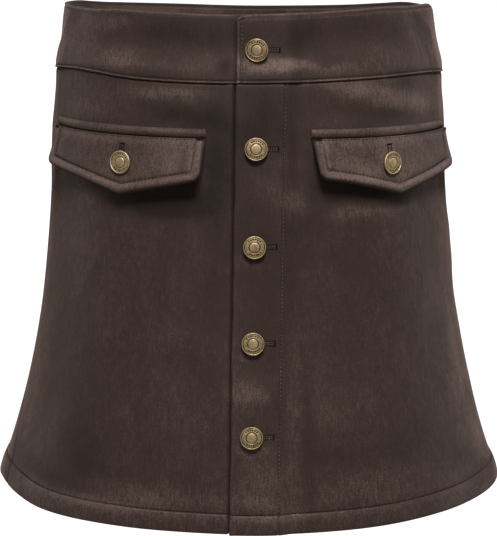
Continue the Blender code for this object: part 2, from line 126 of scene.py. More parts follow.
# patches where the nap is brushed up (lighter) or down (darker), and many where light and shade are
# painted: painted shadows under the flaps, the buttons, the band and beside the placket, painted
# highlights on the band, the flaps, the sides and the hem: angle, height, half width, half height,
# how much
napAndPaintedLight = [
    # waistband
    (-42, -7, 17, 6, 1.2), (-57, 9, 14, 14, 0.7), (-8, -7, 10, 6, 0.5), (4, -12, 22, 6, 3.6),
    (-8, -16, 9, 4, -1.2), (-40, -12, 30, 3.5, 1.4), (21, -10, 14, 4, -1.6), (23, -13, 40, 6, 0.9),
    (-21, 11, 51, 13, -1.3), (15, 10, 34, 13, -1.4), (43, 8, 26, 16, -0.5), (-20, 6, 40, 16, -0.7),
    (30, 14, 60, 10, -0.7), (14, -11, 12, 3.5, 2.0), (22, -13, 16, 4, 1.2), (-80, 4, 9, 20, 1.5),
    (80, 4, 9, 20, 1.2), (-12, 14, 40, 12, -0.6), (24, -4, 22, 10, -0.7), (-6, -14, 6, 6, -1.5),
    (-80, 8, 13, 24, 3.0), (78, 2, 13, 28, 3.0), (21, -4, 18, 8, -1.0), (-7, -11, 5, 4, -1.5),
    (-20, -20, 36, 4, -0.9), (9, -9, 14, 3.5, 1.5), (-3, -8, 5, 3, 1.2), (0, 12, 14, 7, -0.9),
    (-82, -8, 12, 26, 2.6), (80, -12, 12, 28, 2.4), (-20, 2, 40, 12, -0.5), (14, 2, 14, 12, -0.8),
    (20, -12, 8, 4, -1.6), (15, -15, 6, 5, -1.2), (-30, -22, 50, 4, -0.6), (19, -14, 14, 4, 0.8),
    (8, -12, 8, 4, 1.8), (-7, -12, 4, 4, -1.5), (-45, 18, 24, 6, 1.3),
    # from the waistband to the flaps
    (-28, -36, 9, 4, 1.2), (-24, -32, 24, 7, 0.9), (-19, -46, 34, 7, -1.2), (28, -32, 22, 6, 2.2),
    (43, -39, 26, 6, 1.7), (38, -51, 49, 4, -1.2), (-8, -45, 10, 22, -0.9), (-22, -78, 24, 16, 1.2),
    (-14, -88, 6, 9, 1.2), (29, -83, 34, 14, 1.6), (58, -85, 18, 12, 0.5), (31, -125, 34, 6, 0.8),
    (2, -106, 16, 14, 0.6), (3, -46, 17, 28, -1.6), (-18, -113, 20, 8, -2.6), (30, -34, 12, 4, 1.6),
    (40, -37, 14, 4, 1.3), (-28, -50, 16, 5, 0.9), (-9, -84, 18, 34, -2.0), (-20, -54, 32, 8, -1.6),
    (-24, -116, 28, 6, -1.9), (8, -42, 22, 25, -1.5), (55, -50, 22, 6, 2.7),
    (42, -57, 34, 3.5, -1.3), (28, -106, 30, 7, -1.6), (45, -113, 24, 7, -1.6),
    (16, -85, 5, 22, -1.4), (12, -114, 14, 9, 0.9), (-1, -125, 9, 16, -0.8),
    (-24, -121, 26, 7, -1.6), (2, -95, 40, 60, -0.6), (-9, -60, 14, 14, -0.8),
    (-14, -59, 13, 6, -2.4), (-24, -119, 30, 6, -2.2), (29, -113, 36, 4, -2.0),
    (22, -113, 9, 5, -1.2), (-10, -96, 9, 44, -0.9), (-82, -40, 9, 40, 1.1),
    (70, -124, 12, 22, 1.3), (77, -40, 9, 40, 1.4), (21, -34, 18, 4, -1.2), (50, -31, 9, 6, -1.2),
    (16, -105, 6, 30, -0.9), (19, -118, 9, 6, -1.2), (-8, -92, 10, 30, -0.9),
    (-1, -60, 12, 36, -0.8), (33, -124, 30, 5, 1.0), (1, -84, 9, 3, 0.8), (50, -46, 26, 5, 1.4),
    (25, -28, 20, 4, 0.7), (-22, -32, 40, 5, 0.6), (0, -68, 14, 9, -1.3), (-23, -119, 30, 9, -2.2),
    (-38, -121, 12, 6, -0.8), (35, -112, 30, 6, -1.4), (-1, -60, 16, 8, -0.8),
    (9, -62, 12, 14, -0.6), (16, -124, 9, 6, -1.4), (14, -102, 6, 14, -0.8),
    (-50, -116, 14, 6, 1.2), (9, -112, 10, 9, 1.2), (9, -30, 14, 6, 1.4), (45, -44, 24, 6, 1.1),
    (-50, -50, 20, 8, 0.9), (-23, -52, 20, 5, -1.5), (42, -52, 26, 4, -1.6), (-60, -99, 9, 4, -2.2),
    (-47, -106, 10, 4, -2.4), (-38, -111, 9, 4, -1.6), (44, -111, 9, 4, -1.8),
    (54, -104, 8, 4, -1.6), (40, -120, 18, 3.5, -2.2), (-22, -122, 28, 5, -1.2),
    (20, -122, 22, 8, 0.6),
    # below the flaps
    (4, -190, 15, 70, -0.9), (-1, -261, 13, 6, 1.3), (-20, -223, 43, 9, 0.5),
    (-15, -279, 26, 26, 0.4), (15, -270, 26, 24, 0.4), (65, -277, 4, 26, 1.0),
    (65, -316, 9, 9, 0.9), (-43, -310, 26, 24, -0.8), (32, -306, 79, 16, -0.6),
    (25, -191, 49, 49, -0.2), (70, -268, 7, 50, 0.9), (-1, -256, 12, 6, 1.4), (9, -270, 8, 55, 0.5),
    (-60, -230, 18, 70, -0.4), (69, -225, 9, 24, 0.9), (70, -268, 9, 36, 1.1),
    (72, -316, 10, 26, 1.3), (69, -170, 8, 34, 0.9), (-72, -300, 8, 34, 0.9), (9, -290, 8, 30, 0.5),
    (-52, -270, 40, 80, -0.35), (50, -280, 30, 60, -0.35), (-45, -318, 18, 10, -0.8),
    (0, -231, 10, 4, 1.0), (0, -301, 11, 4, 1.6), (1, -142, 14, 5, -0.8), (64, -277, 10, 34, 0.7),
    (0, -231, 9, 4, 0.9), (-9, -170, 9, 110, -0.7), (0, -160, 10, 4, 1.2), (30, -275, 10, 60, 0.4),
    (8, -136, 16, 8, -0.8), (8, -258, 14, 8, -0.4), (-2, -263, 9, 4, 0.6), (0, -303, 10, 4, 1.2),
    (12, -295, 7, 60, -1.1), (3, -318, 22, 22, 0.9), (11, -290, 6, 20, 0.6), (2, -262, 10, 5, 0.8),
    (-62, -210, 14, 90, -0.5), (66, -300, 12, 30, -0.5), (-14, -240, 10, 30, -0.4),
    # at the hem
    (2, -355, 30, 4, 1.8), (57, -330, 17, 10, -1.0), (-76, -335, 6, 22, -2.0),
    (-60, -330, 8, 30, 0.7), (1, -335, 14, 10, 0.8), (-25, -338, 30, 6, 0.5),
    (68, -330, 16, 14, -0.5), (75, -330, 10, 14, 1.0), (2, -354, 30, 3.5, -1.2),
    (-35, -354, 36, 4, 1.0), (-22, -344, 28, 4, 0.9), (0, -342, 22, 5, 1.2), (9, -354, 10, 5, 1.3),
    (-55, -340, 26, 6, -1.5), (-50, -343, 40, 4, -1.0), (75, -322, 14, 14, 0.9),
    (-72, -334, 12, 8, -1.0), (-62, -338, 20, 6, -1.4), (-28, -350, 40, 4, 0.8),
    (-45, -352, 40, 4, 0.9), (-27, -339, 50, 8, 0.7), (-40, -328, 40, 8, -0.7),
    (25, -334, 60, 13, 1.0), (-72, -348, 26, 12, -1.3), (72, -354, 34, 9, -1.0),
    # round the back
    (180, 8, 55, 9, -1.1), (-137, 10, 40, 10, 0.8), (120, -8, 30, 8, 1.0), (176, -10, 50, 7, 0.9),
    (150, 8, 60, 8, -0.8), (-130, 6, 40, 10, -0.7), (140, -60, 40, 14, 0.7),
    (-150, -110, 40, 30, 0.5), (170, -200, 50, 40, -0.5), (-120, -280, 30, 40, 0.6),
    (125, -300, 30, 30, 0.6), (180, -330, 60, 16, -0.6),
]

# the same on the flaps and welts: brushed nap, painted highlights on the flaps' faces and painted
# shade, such as at the welt's inner end
flapNapAndPaintedLight = [
    (22, -84, 8, 16, 0.6), (44, -90, 26, 18, 0.8), (34, -103, 30, 6, 1.5), (21, -74, 6, 10, -1.0),
    (18, -70, 5, 5, 1.2), (42, -70, 22, 7, 1.6), (38, -81, 9, 9, 2.4), (31, -91, 14, 6, 2.2),
    (22, -96, 10, 6, 0.9), (19, -72, 5, 6, 1.0), (30, -72, 14, 4, 0.7), (-14, -59, 12, 3.5, -2.4),
    (-17, -84, 5, 12, -1.4), (-20, -80, 24, 16, 0.6), (-45, -70, 40, 5, 0.8), (30, -98, 12, 5, 1.8),
    (24, -86, 8, 12, 0.4), (47, -96, 12, 6, 0.6), (-62, -80, 12, 10, -0.7), (-38, -92, 12, 10, 0.6),
    (-72, -72, 10, 12, -0.8), (-20, -84, 8, 14, 0.4), (-36, -98, 30, 8, 0.3),
    (-60, -76, 12, 14, -0.9), (-34, -74, 22, 5, -0.4),
]


def smoothLine(points, at, wrap=None):
    # the smooth curve through (place, value) points, each slope from its two neighbours
    places, values = (np.array(column, float) for column in zip(*sorted(points)))
    if wrap:
        at = places[0] + (at - places[0]) % wrap
        places = np.concatenate([places[-2:] - wrap, places, places[:2] + wrap])
        values = np.concatenate([values[-2:], values, values[:2]])
    slopes = np.empty(len(places))
    slopes[1:-1] = (values[2:] - values[:-2]) / (places[2:] - places[:-2])
    slopes[0] = (values[1] - values[0]) / (places[1] - places[0])
    slopes[-1] = (values[-1] - values[-2]) / (places[-1] - places[-2])
    at = np.clip(at, places[0], places[-1])
    i = np.clip(np.searchsorted(places, at) - 1, 0, len(places) - 2)
    span = places[i + 1] - places[i]
    u = (at - places[i]) / span
    return ((2 * u ** 3 - 3 * u ** 2 + 1) * values[i] + (3 * u ** 2 - 2 * u ** 3) * values[i + 1]
            + span * ((u ** 3 - 2 * u ** 2 + u) * slopes[i] + (u ** 3 - u ** 2) * slopes[i + 1]))


def eased(u):
    u = np.clip(u, 0, 1)
    return u * u * (3 - 2 * u)


def bump(away, reach):
    return np.exp(-(away / reach) ** 2)


def sectionSize(column, height):
    return smoothLine([(row[0], row[column]) for row in body["sections"]], height)


def outlinePoint(angle, height):
    turn = np.radians(angle)
    across, along = np.sin(turn), np.cos(turn)
    power = 2 / sectionSize(4, height)
    depth = np.where(along > 0, sectionSize(2, height), sectionSize(3, height))
    x = sectionSize(1, height) * np.sign(across) * np.abs(across) ** power
    y = -depth * np.sign(along) * np.abs(along) ** power
    return np.stack(np.broadcast_arrays(x, y, height), -1)


def outlineNormal(angle, height):
    roundIt = outlinePoint(angle + 0.5, height) - outlinePoint(angle - 0.5, height)
    upIt = outlinePoint(angle, height + 1) - outlinePoint(angle, height - 1)
    normal = np.cross(roundIt, upIt)
    return normal / np.linalg.norm(normal, axis=-1, keepdims=True)


def foldRise(angle, height):
    rise = np.zeros(np.broadcast(angle, height).shape)
    for at, spread, depth, start in body["folds"]:
        away = (angle - at + 180) % 360 - 180
        share = (start - height) / (start - body["hemLevel"])
        rise = rise + depth * eased(share) * bump(away, spread)
    return rise


def creaseRise(angle, height):
    perDegree = 2.4         # mean length of cloth in one degree
    rise = np.zeros(np.broadcast(angle, height).shape)
    for (a0, h0), (a1, h1), reach, ridge in creases:
        x = ((angle - a0 + 180) % 360 - 180) * perDegree
        y = height - h0
        run = np.array([((a1 - a0 + 180) % 360 - 180) * perDegree, h1 - h0])
        length = np.hypot(*run)
        along = (x * run[0] + y * run[1]) / length
        # a crease bends a little and fades out towards both ends
        sway = 0.04 * length * np.sin(math.pi * np.clip(along / length, 0, 1))
        across = (x * run[1] - y * run[0]) / length + sway
        past = np.maximum(-along, along - length) + 0.25 * length
        faded = bump(np.maximum(past, 0), 0.22 * length + reach * 0.5)
        rise = rise + ridge * bump(across, reach) * faded
    return rise


def napAndPaintedLightTone(points, patches):
    # how the nap is brushed, and where light and shade are painted, at points near the body; what
    # stands off it counts as lying on it
    standOff = 14.0             # the flaps' points and the band's rim lie within this of it
    x, y, z = points.T
    tone = np.zeros(len(points))
    for angle, height, across, up, much in patches:
        at = np.array(float(angle)), np.array(float(height))
        middle, normal = outlinePoint(*at), outlineNormal(*at)
        off = (x - middle[0]) * normal[0] + (y - middle[1]) * normal[1]
        beside = (x - middle[0]) * normal[1] - (y - middle[1]) * normal[0]
        away = np.hypot(beside, np.maximum(np.abs(off) - standOff, 0)) / across
        tone += much * np.exp(-away ** 2 - ((z - height) / up) ** 2)
    return tone


def onBody(angle, height, out=0.0):
    # cloth at an angle from the front and a height, moved out square to the body
    out = out + foldRise(angle, height) + creaseRise(angle, height)
    return outlinePoint(angle, height) + outlineNormal(angle, height) * np.asarray(out)[..., None]


def angleAtX(x, height):
    share = np.minimum(np.abs(x) / sectionSize(1, height), 1)
    return np.sign(x) * np.degrees(np.arcsin(share ** (sectionSize(4, height) / 2)))


def angleAtArc(arc, height):
    # the angle at a length along the cloth from the middle of the front
    steps = np.arange(0, 100, 1.0)
    arc, height = np.broadcast_arrays(np.asarray(arc, float), np.asarray(height, float))
    side = np.sign(arc)
    walk = outlinePoint(side[..., None] * steps, height[..., None])
    passed = np.cumsum(np.linalg.norm(np.diff(walk, axis=-2), axis=-1), axis=-1)
    passed = np.concatenate([np.zeros(arc.shape + (1,)), passed], axis=-1)
    i = np.clip((passed < np.abs(arc)[..., None]).sum(-1) - 1, 0, len(steps) - 2)[..., None]
    before, after = (np.take_along_axis(passed, i + k, -1)[..., 0] for k in (0, 1))
    return side * (steps[i[..., 0]] + (np.abs(arc) - before) / (after - before))


def rimHeight(angle):
    return body["rimLevel"] + smoothLine(body["waistEdge"], angle, wrap=360)


def seamHeight(angle):
    return body["rimLevel"] + smoothLine(body["bandSeam"], angle, wrap=360)


def hemHeight(angle):
    return body["hemLevel"] + smoothLine(body["hemEdge"], angle, wrap=360)


def seamLine(height, side):
    # the side seam's angle on the picture's left (-1) or right (1)
    return smoothLine([(row[0], row[1 if side < 0 else 2]) for row in body["sideSeams"]], height)


def halfGap(gap, height):
    return np.degrees(gap / 2 / sectionSize(2, height))


def frontColumn(column, height, side, start, width, sway=0.0):
    # a column's angle: its own distance from the front line up to start, and beyond it a share
    # of the way on to the side seam
    atStart = frontAngle(start, height)
    atSeam = seamLine(height, side) - side * halfGap(sewing["sideGap"], height)
    share = side * (column - start) / width
    shared = atStart + (atSeam - atStart) * share
    return np.where(share <= 0, frontAngle(column + sway, height), shared)


def backColumn(share, height, gap):
    # the angle at a share of the way round the back from seam to seam
    start = seamLine(height, 1) + halfGap(gap, height)
    end = 360 + seamLine(height, -1) - halfGap(gap, height)
    return start + (end - start) * share


def frontAngle(offset, height):
    return angleAtX(body["frontLine"] + body["frontLean"] * height + offset, height)


# what the seams and edges look like, on every piece
sewing = {
    "gap": 0.4,             # between two layers of cloth
    "sideGap": -0.1,        # the panels meet at the bottom of the side seams' grooves
    "hemTurnUp": 16.0,      # hem stitching over the hem
    "groove": 0.9,          # how deep a row of stitches sinks in
    "grooveReach": 0.7,
    "pucker": 0.25,         # unevenness beside a row of stitches
    "puckerReach": 7.0,
}


def uneven(x, seed):
    # a soft uneven wave along a seam, from -1 to 1
    waves = [(23.0, 0.35), (11.3, 0.3), (7.1, 0.2), (37.0, 0.15)]
    return sum(size * np.sin(x * 2 * math.pi / (length * (1 + 0.07 * seed)) + seed * (1.7 + k))
               for k, (length, size) in enumerate(waves))


def stitchGroove(away, along, seed):
    deeper = 1 + 0.25 * uneven(along * 2.3, seed + 3)
    sunk = -sewing["groove"] * bump(away, sewing["grooveReach"]) * deeper
    return sunk + sewing["pucker"] * uneven(along, seed) * bump(away, sewing["puckerReach"])


def roundOff(distance, radius):
    # how far a rounded edge falls back at a distance from the rim
    inside = np.clip(1 - distance / radius, 0, 1)
    return radius * (1 - np.sqrt(1 - inside ** 2))


def ticks(low, high, step, fine=()):
    # places from low to high, closer together near each (centre, reach, step) of fine
    places = [low]
    while places[-1] < high:
        size = step
        for centre, reach, small in fine:
            size = min(size, small + 0.3 * max(abs(places[-1] - centre) - reach, 0))
        places.append(places[-1] + size)
    return low + (np.array(places) - low) * (high - low) / (places[-1] - low)


def finishPiece(piece):
    bpy.context.scene.collection.objects.link(piece)
    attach(piece, "root")
    return piece


def clothSheet(name, columns, rows, place, wall, wallAt, looks, edgeWearAndPaintedLight, patches=napAndPaintedLight):
    # a flat grid laid on its place, columns left to right and rows top to bottom, with a wall on
    # the inner side; its UV map is the flat cloth in metres; edgeWearAndPaintedLight is how much
    # lighter or darker the nap is made at a place on the flat cloth, by wear and by painted light
    # and shade
    bm = bmesh.new()
    bmesh.ops.create_grid(bm, x_segments=len(columns) - 1, y_segments=len(rows) - 1, size=1)
    spots = np.array([vert.co[:2] for vert in bm.verts])
    column = columns[np.rint((spots[:, 0] + 1) / 2 * (len(columns) - 1)).astype(int)]
    row = rows[np.rint((1 - spots[:, 1]) / 2 * (len(rows) - 1)).astype(int)]
    points = place(column, row)
    for vert, point in zip(bm.verts, points * mm):
        vert.co = point
    mesh = bpy.data.meshes.new(name)
    bm.to_mesh(mesh)
    bm.free()
    # the attribute holds brushed nap and painted light and shade, which the suede shader turns into
    # colour
    mesh.attributes.new("napAndPaintedLight", "FLOAT", "POINT").data.foreach_set(
        "value", napAndPaintedLightTone(points, patches) + edgeWearAndPaintedLight(column, row))
    corners = np.empty(len(mesh.loops), int)
    mesh.loops.foreach_get("vertex_index", corners)
    flatMap = np.stack([column, -row], -1)[corners] * mm
    mesh.uv_layers.new(name="flat cloth").data.foreach_set("uv", flatMap.ravel())
    mesh.shade_smooth()
    for look in looks:
        mesh.materials.append(look)
    piece = bpy.data.objects.new(name, mesh)
    finishPiece(piece)
    shares = np.clip(wallAt(column, row) / wall, 0, 1)
    group = piece.vertex_groups.new(name="wall")
    for level in np.unique(np.round(shares, 3)):
        chosen = np.nonzero(np.abs(shares - level) < 0.0006)[0]
        group.add(chosen.tolist(), float(level), "REPLACE")
    thick = piece.modifiers.new("wall", "SOLIDIFY")
    thick.thickness = wall * mm
    thick.offset = -1
    thick.vertex_group = "wall"
    thick.material_offset = len(looks) - 1
    return piece


# looks of the cloth, thread and brass
class Wire:
    # a node's output in an expression; sums and products add their Math nodes
    def __init__(self, recipe, socket):
        self.recipe, self.socket = recipe, socket

    def calc(self, how, *values):
        return self.recipe.node("ShaderNodeMath", {"operation": how}, dict(enumerate(values)))

    def __add__(self, other):
        return self.calc("ADD", self, other)

    def __radd__(self, other):
        return self.calc("ADD", other, self)

    def __sub__(self, other):
        return self.calc("SUBTRACT", self, other)

    def __rsub__(self, other):
        return self.calc("SUBTRACT", other, self)

    def __mul__(self, other):
        return self.calc("MULTIPLY", self, other)

    def __rmul__(self, other):
        return self.calc("MULTIPLY", other, self)


class Recipe:
    # one material: node() adds any node, the rest are short ways to the common ones
    def __init__(self, name, **sockets):
        self.material = bpy.data.materials.new(name)
        self.material.use_nodes = True
        self.tree = self.material.node_tree
        self.shader = self.tree.nodes["Principled BSDF"]
        self.feed(self.shader, {key.replace("_", " "): value for key, value in sockets.items()})

    def feed(self, node, values):
        for key, value in values.items():
            if isinstance(value, Wire):
                self.tree.links.new(value.socket, node.inputs[key])
            else:
                node.inputs[key].default_value = value

    def node(self, kind, settings=None, values=None, out=0):
        node = self.tree.nodes.new(kind)
        for key, value in (settings or {}).items():
            setattr(node, key, value)
        self.feed(node, values or {})
        return Wire(self, node.outputs[out])

    def place(self, scale=(1, 1, 1)):
        spot = self.node("ShaderNodeTexCoord", out="Object")
        return self.node("ShaderNodeMapping", None, {"Vector": spot, "Scale": scale})

    def noise(self, where, perMetre, detail=2.0, rough=0.5, twist=0.0):
        return self.node("ShaderNodeTexNoise", None,
                         {"Vector": where, "Scale": perMetre, "Detail": detail, "Roughness": rough,
                          "Distortion": twist})

    def spread(self, value, low, high, toLow=0.0, toHigh=1.0):
        return self.node("ShaderNodeMapRange", None,
                         {0: value, 1: low, 2: high, 3: toLow, 4: toHigh})

    def blend(self, share, first, second):
        node = self.tree.nodes.new("ShaderNodeMix")
        node.data_type = "RGBA"
        self.feed(node, {0: share, 6: first, 7: second})
        return Wire(self, node.outputs[2])

    def bump(self, height, strength, distance, normal=None):
        values = {"Height": height, "Strength": strength, "Distance": distance}
        if normal:
            values["Normal"] = normal
        return self.node("ShaderNodeBump", None, values)

    def finish(self, **sockets):
        self.feed(self.shader, {key.replace("_", " "): value for key, value in sockets.items()})
        return self.material


suedeLook = {
    "dark": (0.0060, 0.0036, 0.0028, 1),
    "mid": (0.0318, 0.0192, 0.0153, 1),
    "light": (0.152, 0.1010, 0.0865, 1),
    "gloss": (0.95, 0.72, 0.64, 1),
    "glossLevel": 0.45,
    "rough": 0.56,
    "sheen": 0.16,
    "edgeSheen": 0.20,
    "edgeRough": 0.42,
    "edgeOn": (0.40, 0.72),     # from where to where the cloth turns from glossy to furry
    "sheenTint": (0.70, 0.53, 0.46, 1),
}


def suede(name, look):
    # brushed microfibre: cloudy nap, short strokes, a fine fibre speckle, and patches from the
    # attribute that hold brushed nap and painted light and shade
    shade = Recipe(name, Roughness=look["rough"], Specular_IOR_Level=look["glossLevel"],
                   Specular_Tint=look["gloss"], Sheen_Weight=look["sheen"], Sheen_Roughness=0.5,
                   Sheen_Tint=look["sheenTint"])
    where = shade.place()
    leaning = shade.place((1.0, 1.0, 0.7))
    napAndPaintedLight = shade.node("ShaderNodeAttribute", {"attribute_name": "napAndPaintedLight"}, out="Fac")
    clouds = shade.noise(leaning, 26, 3, 0.6, 0.8)
    strokes = shade.noise(leaning, 160, 3, 0.65, 0.6)
    hairs = shade.noise(shade.place((1.0, 1.0, 0.16)), 620, 2, 0.6)
    fibres = shade.noise(where, 1000, 2, 0.65)
    specks = shade.noise(where, 2300, 1, 0.5)
    grain = (fibres - 0.5) * 1.5 + (specks - 0.5) * 1.5 + (hairs - 0.5) * 1.0
    # the speckle grows stronger where highlights are painted
    up = shade.node("ShaderNodeMath", {"operation": "MAXIMUM"}, {0: napAndPaintedLight, 1: 0.0})
    nap = (clouds - 0.5) * 1.0 + (strokes - 0.5) * 0.7 + grain * (up * 0.55 + 0.9) + napAndPaintedLight * 0.35
    # the nap's random tone and the attribute's painted light and shade move the colour between mid
    # and the light and dark ends; painted shadows under the flaps reach the dark end
    toLight = shade.spread(nap, 0.0, 1.6)
    toDark = shade.spread(nap, 0.0, -1.35)
    colour = shade.blend(toDark, shade.blend(toLight, look["mid"], look["light"]), look["dark"])
    relief = shade.bump(clouds, 0.25, 0.004)
    relief = shade.bump(strokes, 0.2, 0.0008, relief)
    relief = shade.bump(hairs, 0.3, 0.0003, relief)
    relief = shade.bump(fibres, 0.2, 0.0003, relief)
    relief = shade.bump(specks, 0.35, 0.0003, relief)
    relief = shade.bump(shade.noise(where, 5200, 2, 0.7), 0.6, 0.0002, relief)
    dull = shade.spread(nap, -0.6, 0.9, look["rough"] + 0.1, look["rough"] - 0.14)
    # seen edge on, the fibres hide the gloss of the cloth under them
    turned = shade.node("ShaderNodeLayerWeight", None, {"Blend": 0.5}, out=1)
    fur = shade.node("ShaderNodeBsdfPrincipled", None,
                     {"Base Color": colour, "Roughness": 1.0, "Specular IOR Level": 0.0,
                      "Normal": relief, "Sheen Weight": look["edgeSheen"],
                      "Sheen Roughness": look["edgeRough"], "Sheen Tint": look["sheenTint"]})
    edgeOn = shade.spread(turned, *look["edgeOn"])
    glossy = Wire(shade, shade.shader.outputs[0])
    both = shade.node("ShaderNodeMixShader", None, {0: edgeOn, 1: glossy, 2: fur})
    shade.feed(shade.tree.nodes["Material Output"], {"Surface": both})
    return shade.finish(Base_Color=colour, Roughness=dull, Normal=relief)


def backing(name):
    # the matt inner side of the bonded cloth, a fine knit
    shade = Recipe(name, Roughness=0.95, Specular_IOR_Level=0.05, Specular_Tint=(1.0, 0.8, 0.7, 1))
    where = shade.place()
    fibres = shade.noise(where, 700, 2, 0.6)
    clouds = shade.noise(where, 30, 2, 0.5)
    flat = shade.node("ShaderNodeUVMap", {"uv_map": "flat cloth"})
    ribs = shade.node("ShaderNodeTexWave", None,
                      {"Vector": flat, "Scale": 160.0, "Distortion": 1.5, "Detail": 1.0,
                       "Detail Scale": 3.0}, out=1)
    tone = shade.spread(fibres * 0.45 + clouds * 0.3 + ribs * 0.25, 0.3, 0.7)
    colour = shade.blend(tone, (0.024, 0.0145, 0.0114, 1), (0.068, 0.0430, 0.0345, 1))
    relief = shade.bump(ribs * 0.6 + fibres * 0.4, 0.5, 0.0004)
    return shade.finish(Base_Color=colour, Normal=relief)


facingLines = {     # metres from the rim, negative downwards
    # a painted highlight on the roll along the rim, painted shade in the gap beside the outer cloth
    "rollFrom": (-0.0034, -0.0030),     # the lighter roll along the rim
    "rollTo": (-0.0027, -0.0023),
    "gap": (-0.0026, -0.0022),          # from here up the dark gap beside the outer cloth
}


def facingLook(name, lines):
    # the band's inner facing, smoother than the nap, its colour painted lighter as if lit from the
    # front; a painted highlight on the roll along the rim and painted shade in the gap beside the
    # outer cloth
    shade = Recipe(name, Roughness=0.7, Specular_IOR_Level=0.35, Specular_Tint=(1.0, 0.82, 0.74, 1))
    where = shade.place()
    fibres = shade.noise(where, 800, 2, 0.6)
    clouds = shade.noise(where, 60, 3, 0.6, 0.5)
    napAndPaintedLight = shade.node("ShaderNodeAttribute", {"attribute_name": "napAndPaintedLight"}, out="Fac")
    tone = shade.spread(fibres * 0.5 + clouds * 0.5 + napAndPaintedLight * 0.1, 0.35, 0.65)
    # the facing's colour painted lighter than the suede, as light from the front falls on it
    colour = shade.blend(tone, (0.066, 0.044, 0.0350, 1), (0.190, 0.134, 0.108, 1))
    flat = shade.node("ShaderNodeUVMap", {"uv_map": "flat cloth"})
    fromRim = shade.node("ShaderNodeSeparateXYZ", None, {"Vector": flat}, out=1)
    # painted highlight on the roll
    roll = shade.spread(fromRim, *lines["rollFrom"]) * (1 - shade.spread(fromRim, *lines["rollTo"]))
    colour = shade.blend(roll * 0.45, colour, (0.27, 0.195, 0.160, 1))
    # painted shade in the gap beside the outer cloth
    gap = shade.spread(fromRim, *lines["gap"])
    colour = shade.blend(gap * 0.8, colour, (0.010, 0.0062, 0.005, 1))
    return shade.finish(Base_Color=colour, Normal=shade.bump(fibres, 0.4, 0.0004))


def threadLook(name, colour):
    shade = Recipe(name, Roughness=0.7, Specular_IOR_Level=0.15)
    twist = shade.noise(shade.place(), 1600, 1, 0.5)
    worn = shade.noise(shade.place(), 42, 2, 0.6)
    dark, light = ([channel * share for channel in colour] + [1] for share in (0.30, 1.5))
    tone = shade.blend(shade.spread(twist * 0.35 + worn * 0.65, 0.38, 0.62), dark, light)
    return shade.finish(Base_Color=tone, Normal=shade.bump(twist, 0.4, 0.0003))


brassLook = {
    "bright": (0.70, 0.525, 0.300, 1),
    "worn": (0.40, 0.292, 0.158, 1),
    "patina": (0.030, 0.020, 0.011, 1),
}


def antiqueBrass(name, look):
    shade = Recipe(name, Metallic=1.0, Roughness=0.34)
    where = shade.place()
    grime = shade.node("ShaderNodeAttribute", {"attribute_name": "patina"}, out="Fac")
    clouds = shade.noise(where, 260, 3, 0.6, 0.5)
    scratches = shade.noise(where, 1500, 2, 0.7)
    tarnish = shade.spread(clouds * 0.75 + scratches * 0.25, 0.42, 0.62)
    metal = shade.blend(tarnish, look["bright"], look["worn"])
    colour = shade.blend(grime, metal, look["patina"])
    dull = shade.spread(tarnish * 0.6 + grime * 0.8, 0.0, 1.4, 0.50, 0.80)
    return shade.finish(Base_Color=colour, Roughness=dull,
                        Normal=shade.bump(clouds * 0.6 + scratches * 0.4, 0.16, 0.0004))


looks = {
    "suede": suede("brushed suede", suedeLook),
    "backing": backing("suede backing"),
    "facing": facingLook("waistband facing", facingLines),
    "thread": threadLook("sewing thread", (0.026, 0.0172, 0.0140)),
    # thread painted light, for the glints of light on the fine rows of stitches and the buttonhole
    # knots
    "paintedGlintThread": threadLook("sewing thread with painted glints", (0.21, 0.155, 0.128)),
    "darkThread": threadLook("buttonhole thread", (0.0125, 0.0080, 0.0064)),
    "brass": antiqueBrass("antique brass", brassLook),
    # the flap buttons' brass is given lighter colours
    "flapBrass": antiqueBrass("lighter antique brass", {**brassLook, "bright": (0.92, 0.69, 0.40, 1),
                                                       "worn": (0.54, 0.395, 0.215, 1)}),
}
print("looks made")

# the two fronts and the back
placket = {
    "edge": -15.8,          # from the front line to the overlap's free edge
    "stitch": 21.5,         # to the row of stitches that holds its facing
    "ease": 12.0,           # beyond it the cloth comes down to the panel's level
    "level": 3.4,
    "lapStart": -18.8,      # from here the under layer follows the placket
    "underEnd": 14.0,
    "wall": 3.0,
}
panel = {
    "length": 344.0,        # seam to hem
    "width": 250.0,         # placket to side seam, where the panel is widest
    "backWidth": 560.0,
    "wall": 1.6,
    "sideRound": 0.7,       # the edge that is turned in at the side seam
    "seamKept": 12.0,       # rows this near the seam keep their distance to it
    "hemKept": 26.0,
    "step": 2.6,
    # where the nap is made lighter or darker along an edge, by wear and by painted light and shade:
    # distance from it, reach, how much lighter
    # along the hem: lighter on the turn-up's fold under the stitches, a painted highlight above
    # them, painted shade in their groove, darker at the very edge
    "hemWearAndPaintedLight": [(13.6, 1.7, 0.25), (23.0, 6.0, 0.55), (0.0, 2.2, -1.0), (16.0, 0.8, -0.4)],
    "turnUpRub": 0.7,
    # painted shade under the band's overhang and along the side seams
    "shadeUnderBand": (0.0, 2.0, -0.8),
    "sideSeamShade": (0.0, 1.4, -2.4),
}
edgeShare = 0.42            # of the wall, the rounding of a folded edge
underStart, overStart = placket["lapStart"] - panel["width"], placket["stitch"] + placket["ease"]
overEnd = overStart + panel["width"]


# bumps along an edge; in the cloth's tone they stand for wear and for painted light and shade:
# highlights on rolls, shade in grooves, seams and under overhangs
def bumpsAlong(distance, *rubs):
    return sum(much * bump(distance - at, reach) for at, reach, much in rubs)


def panelHeight(angle, row):
    top, hem = seamHeight(angle) + sewing["gap"] / 2, hemHeight(angle)
    kept, low = panel["seamKept"], panel["hemKept"]
    share = (row - kept) / (panel["length"] - kept - low)
    middle = top - kept + (hem + low - top + kept) * share
    return np.where(row < kept, top - row,
                    np.where(row > panel["length"] - low, hem + panel["length"] - row, middle))


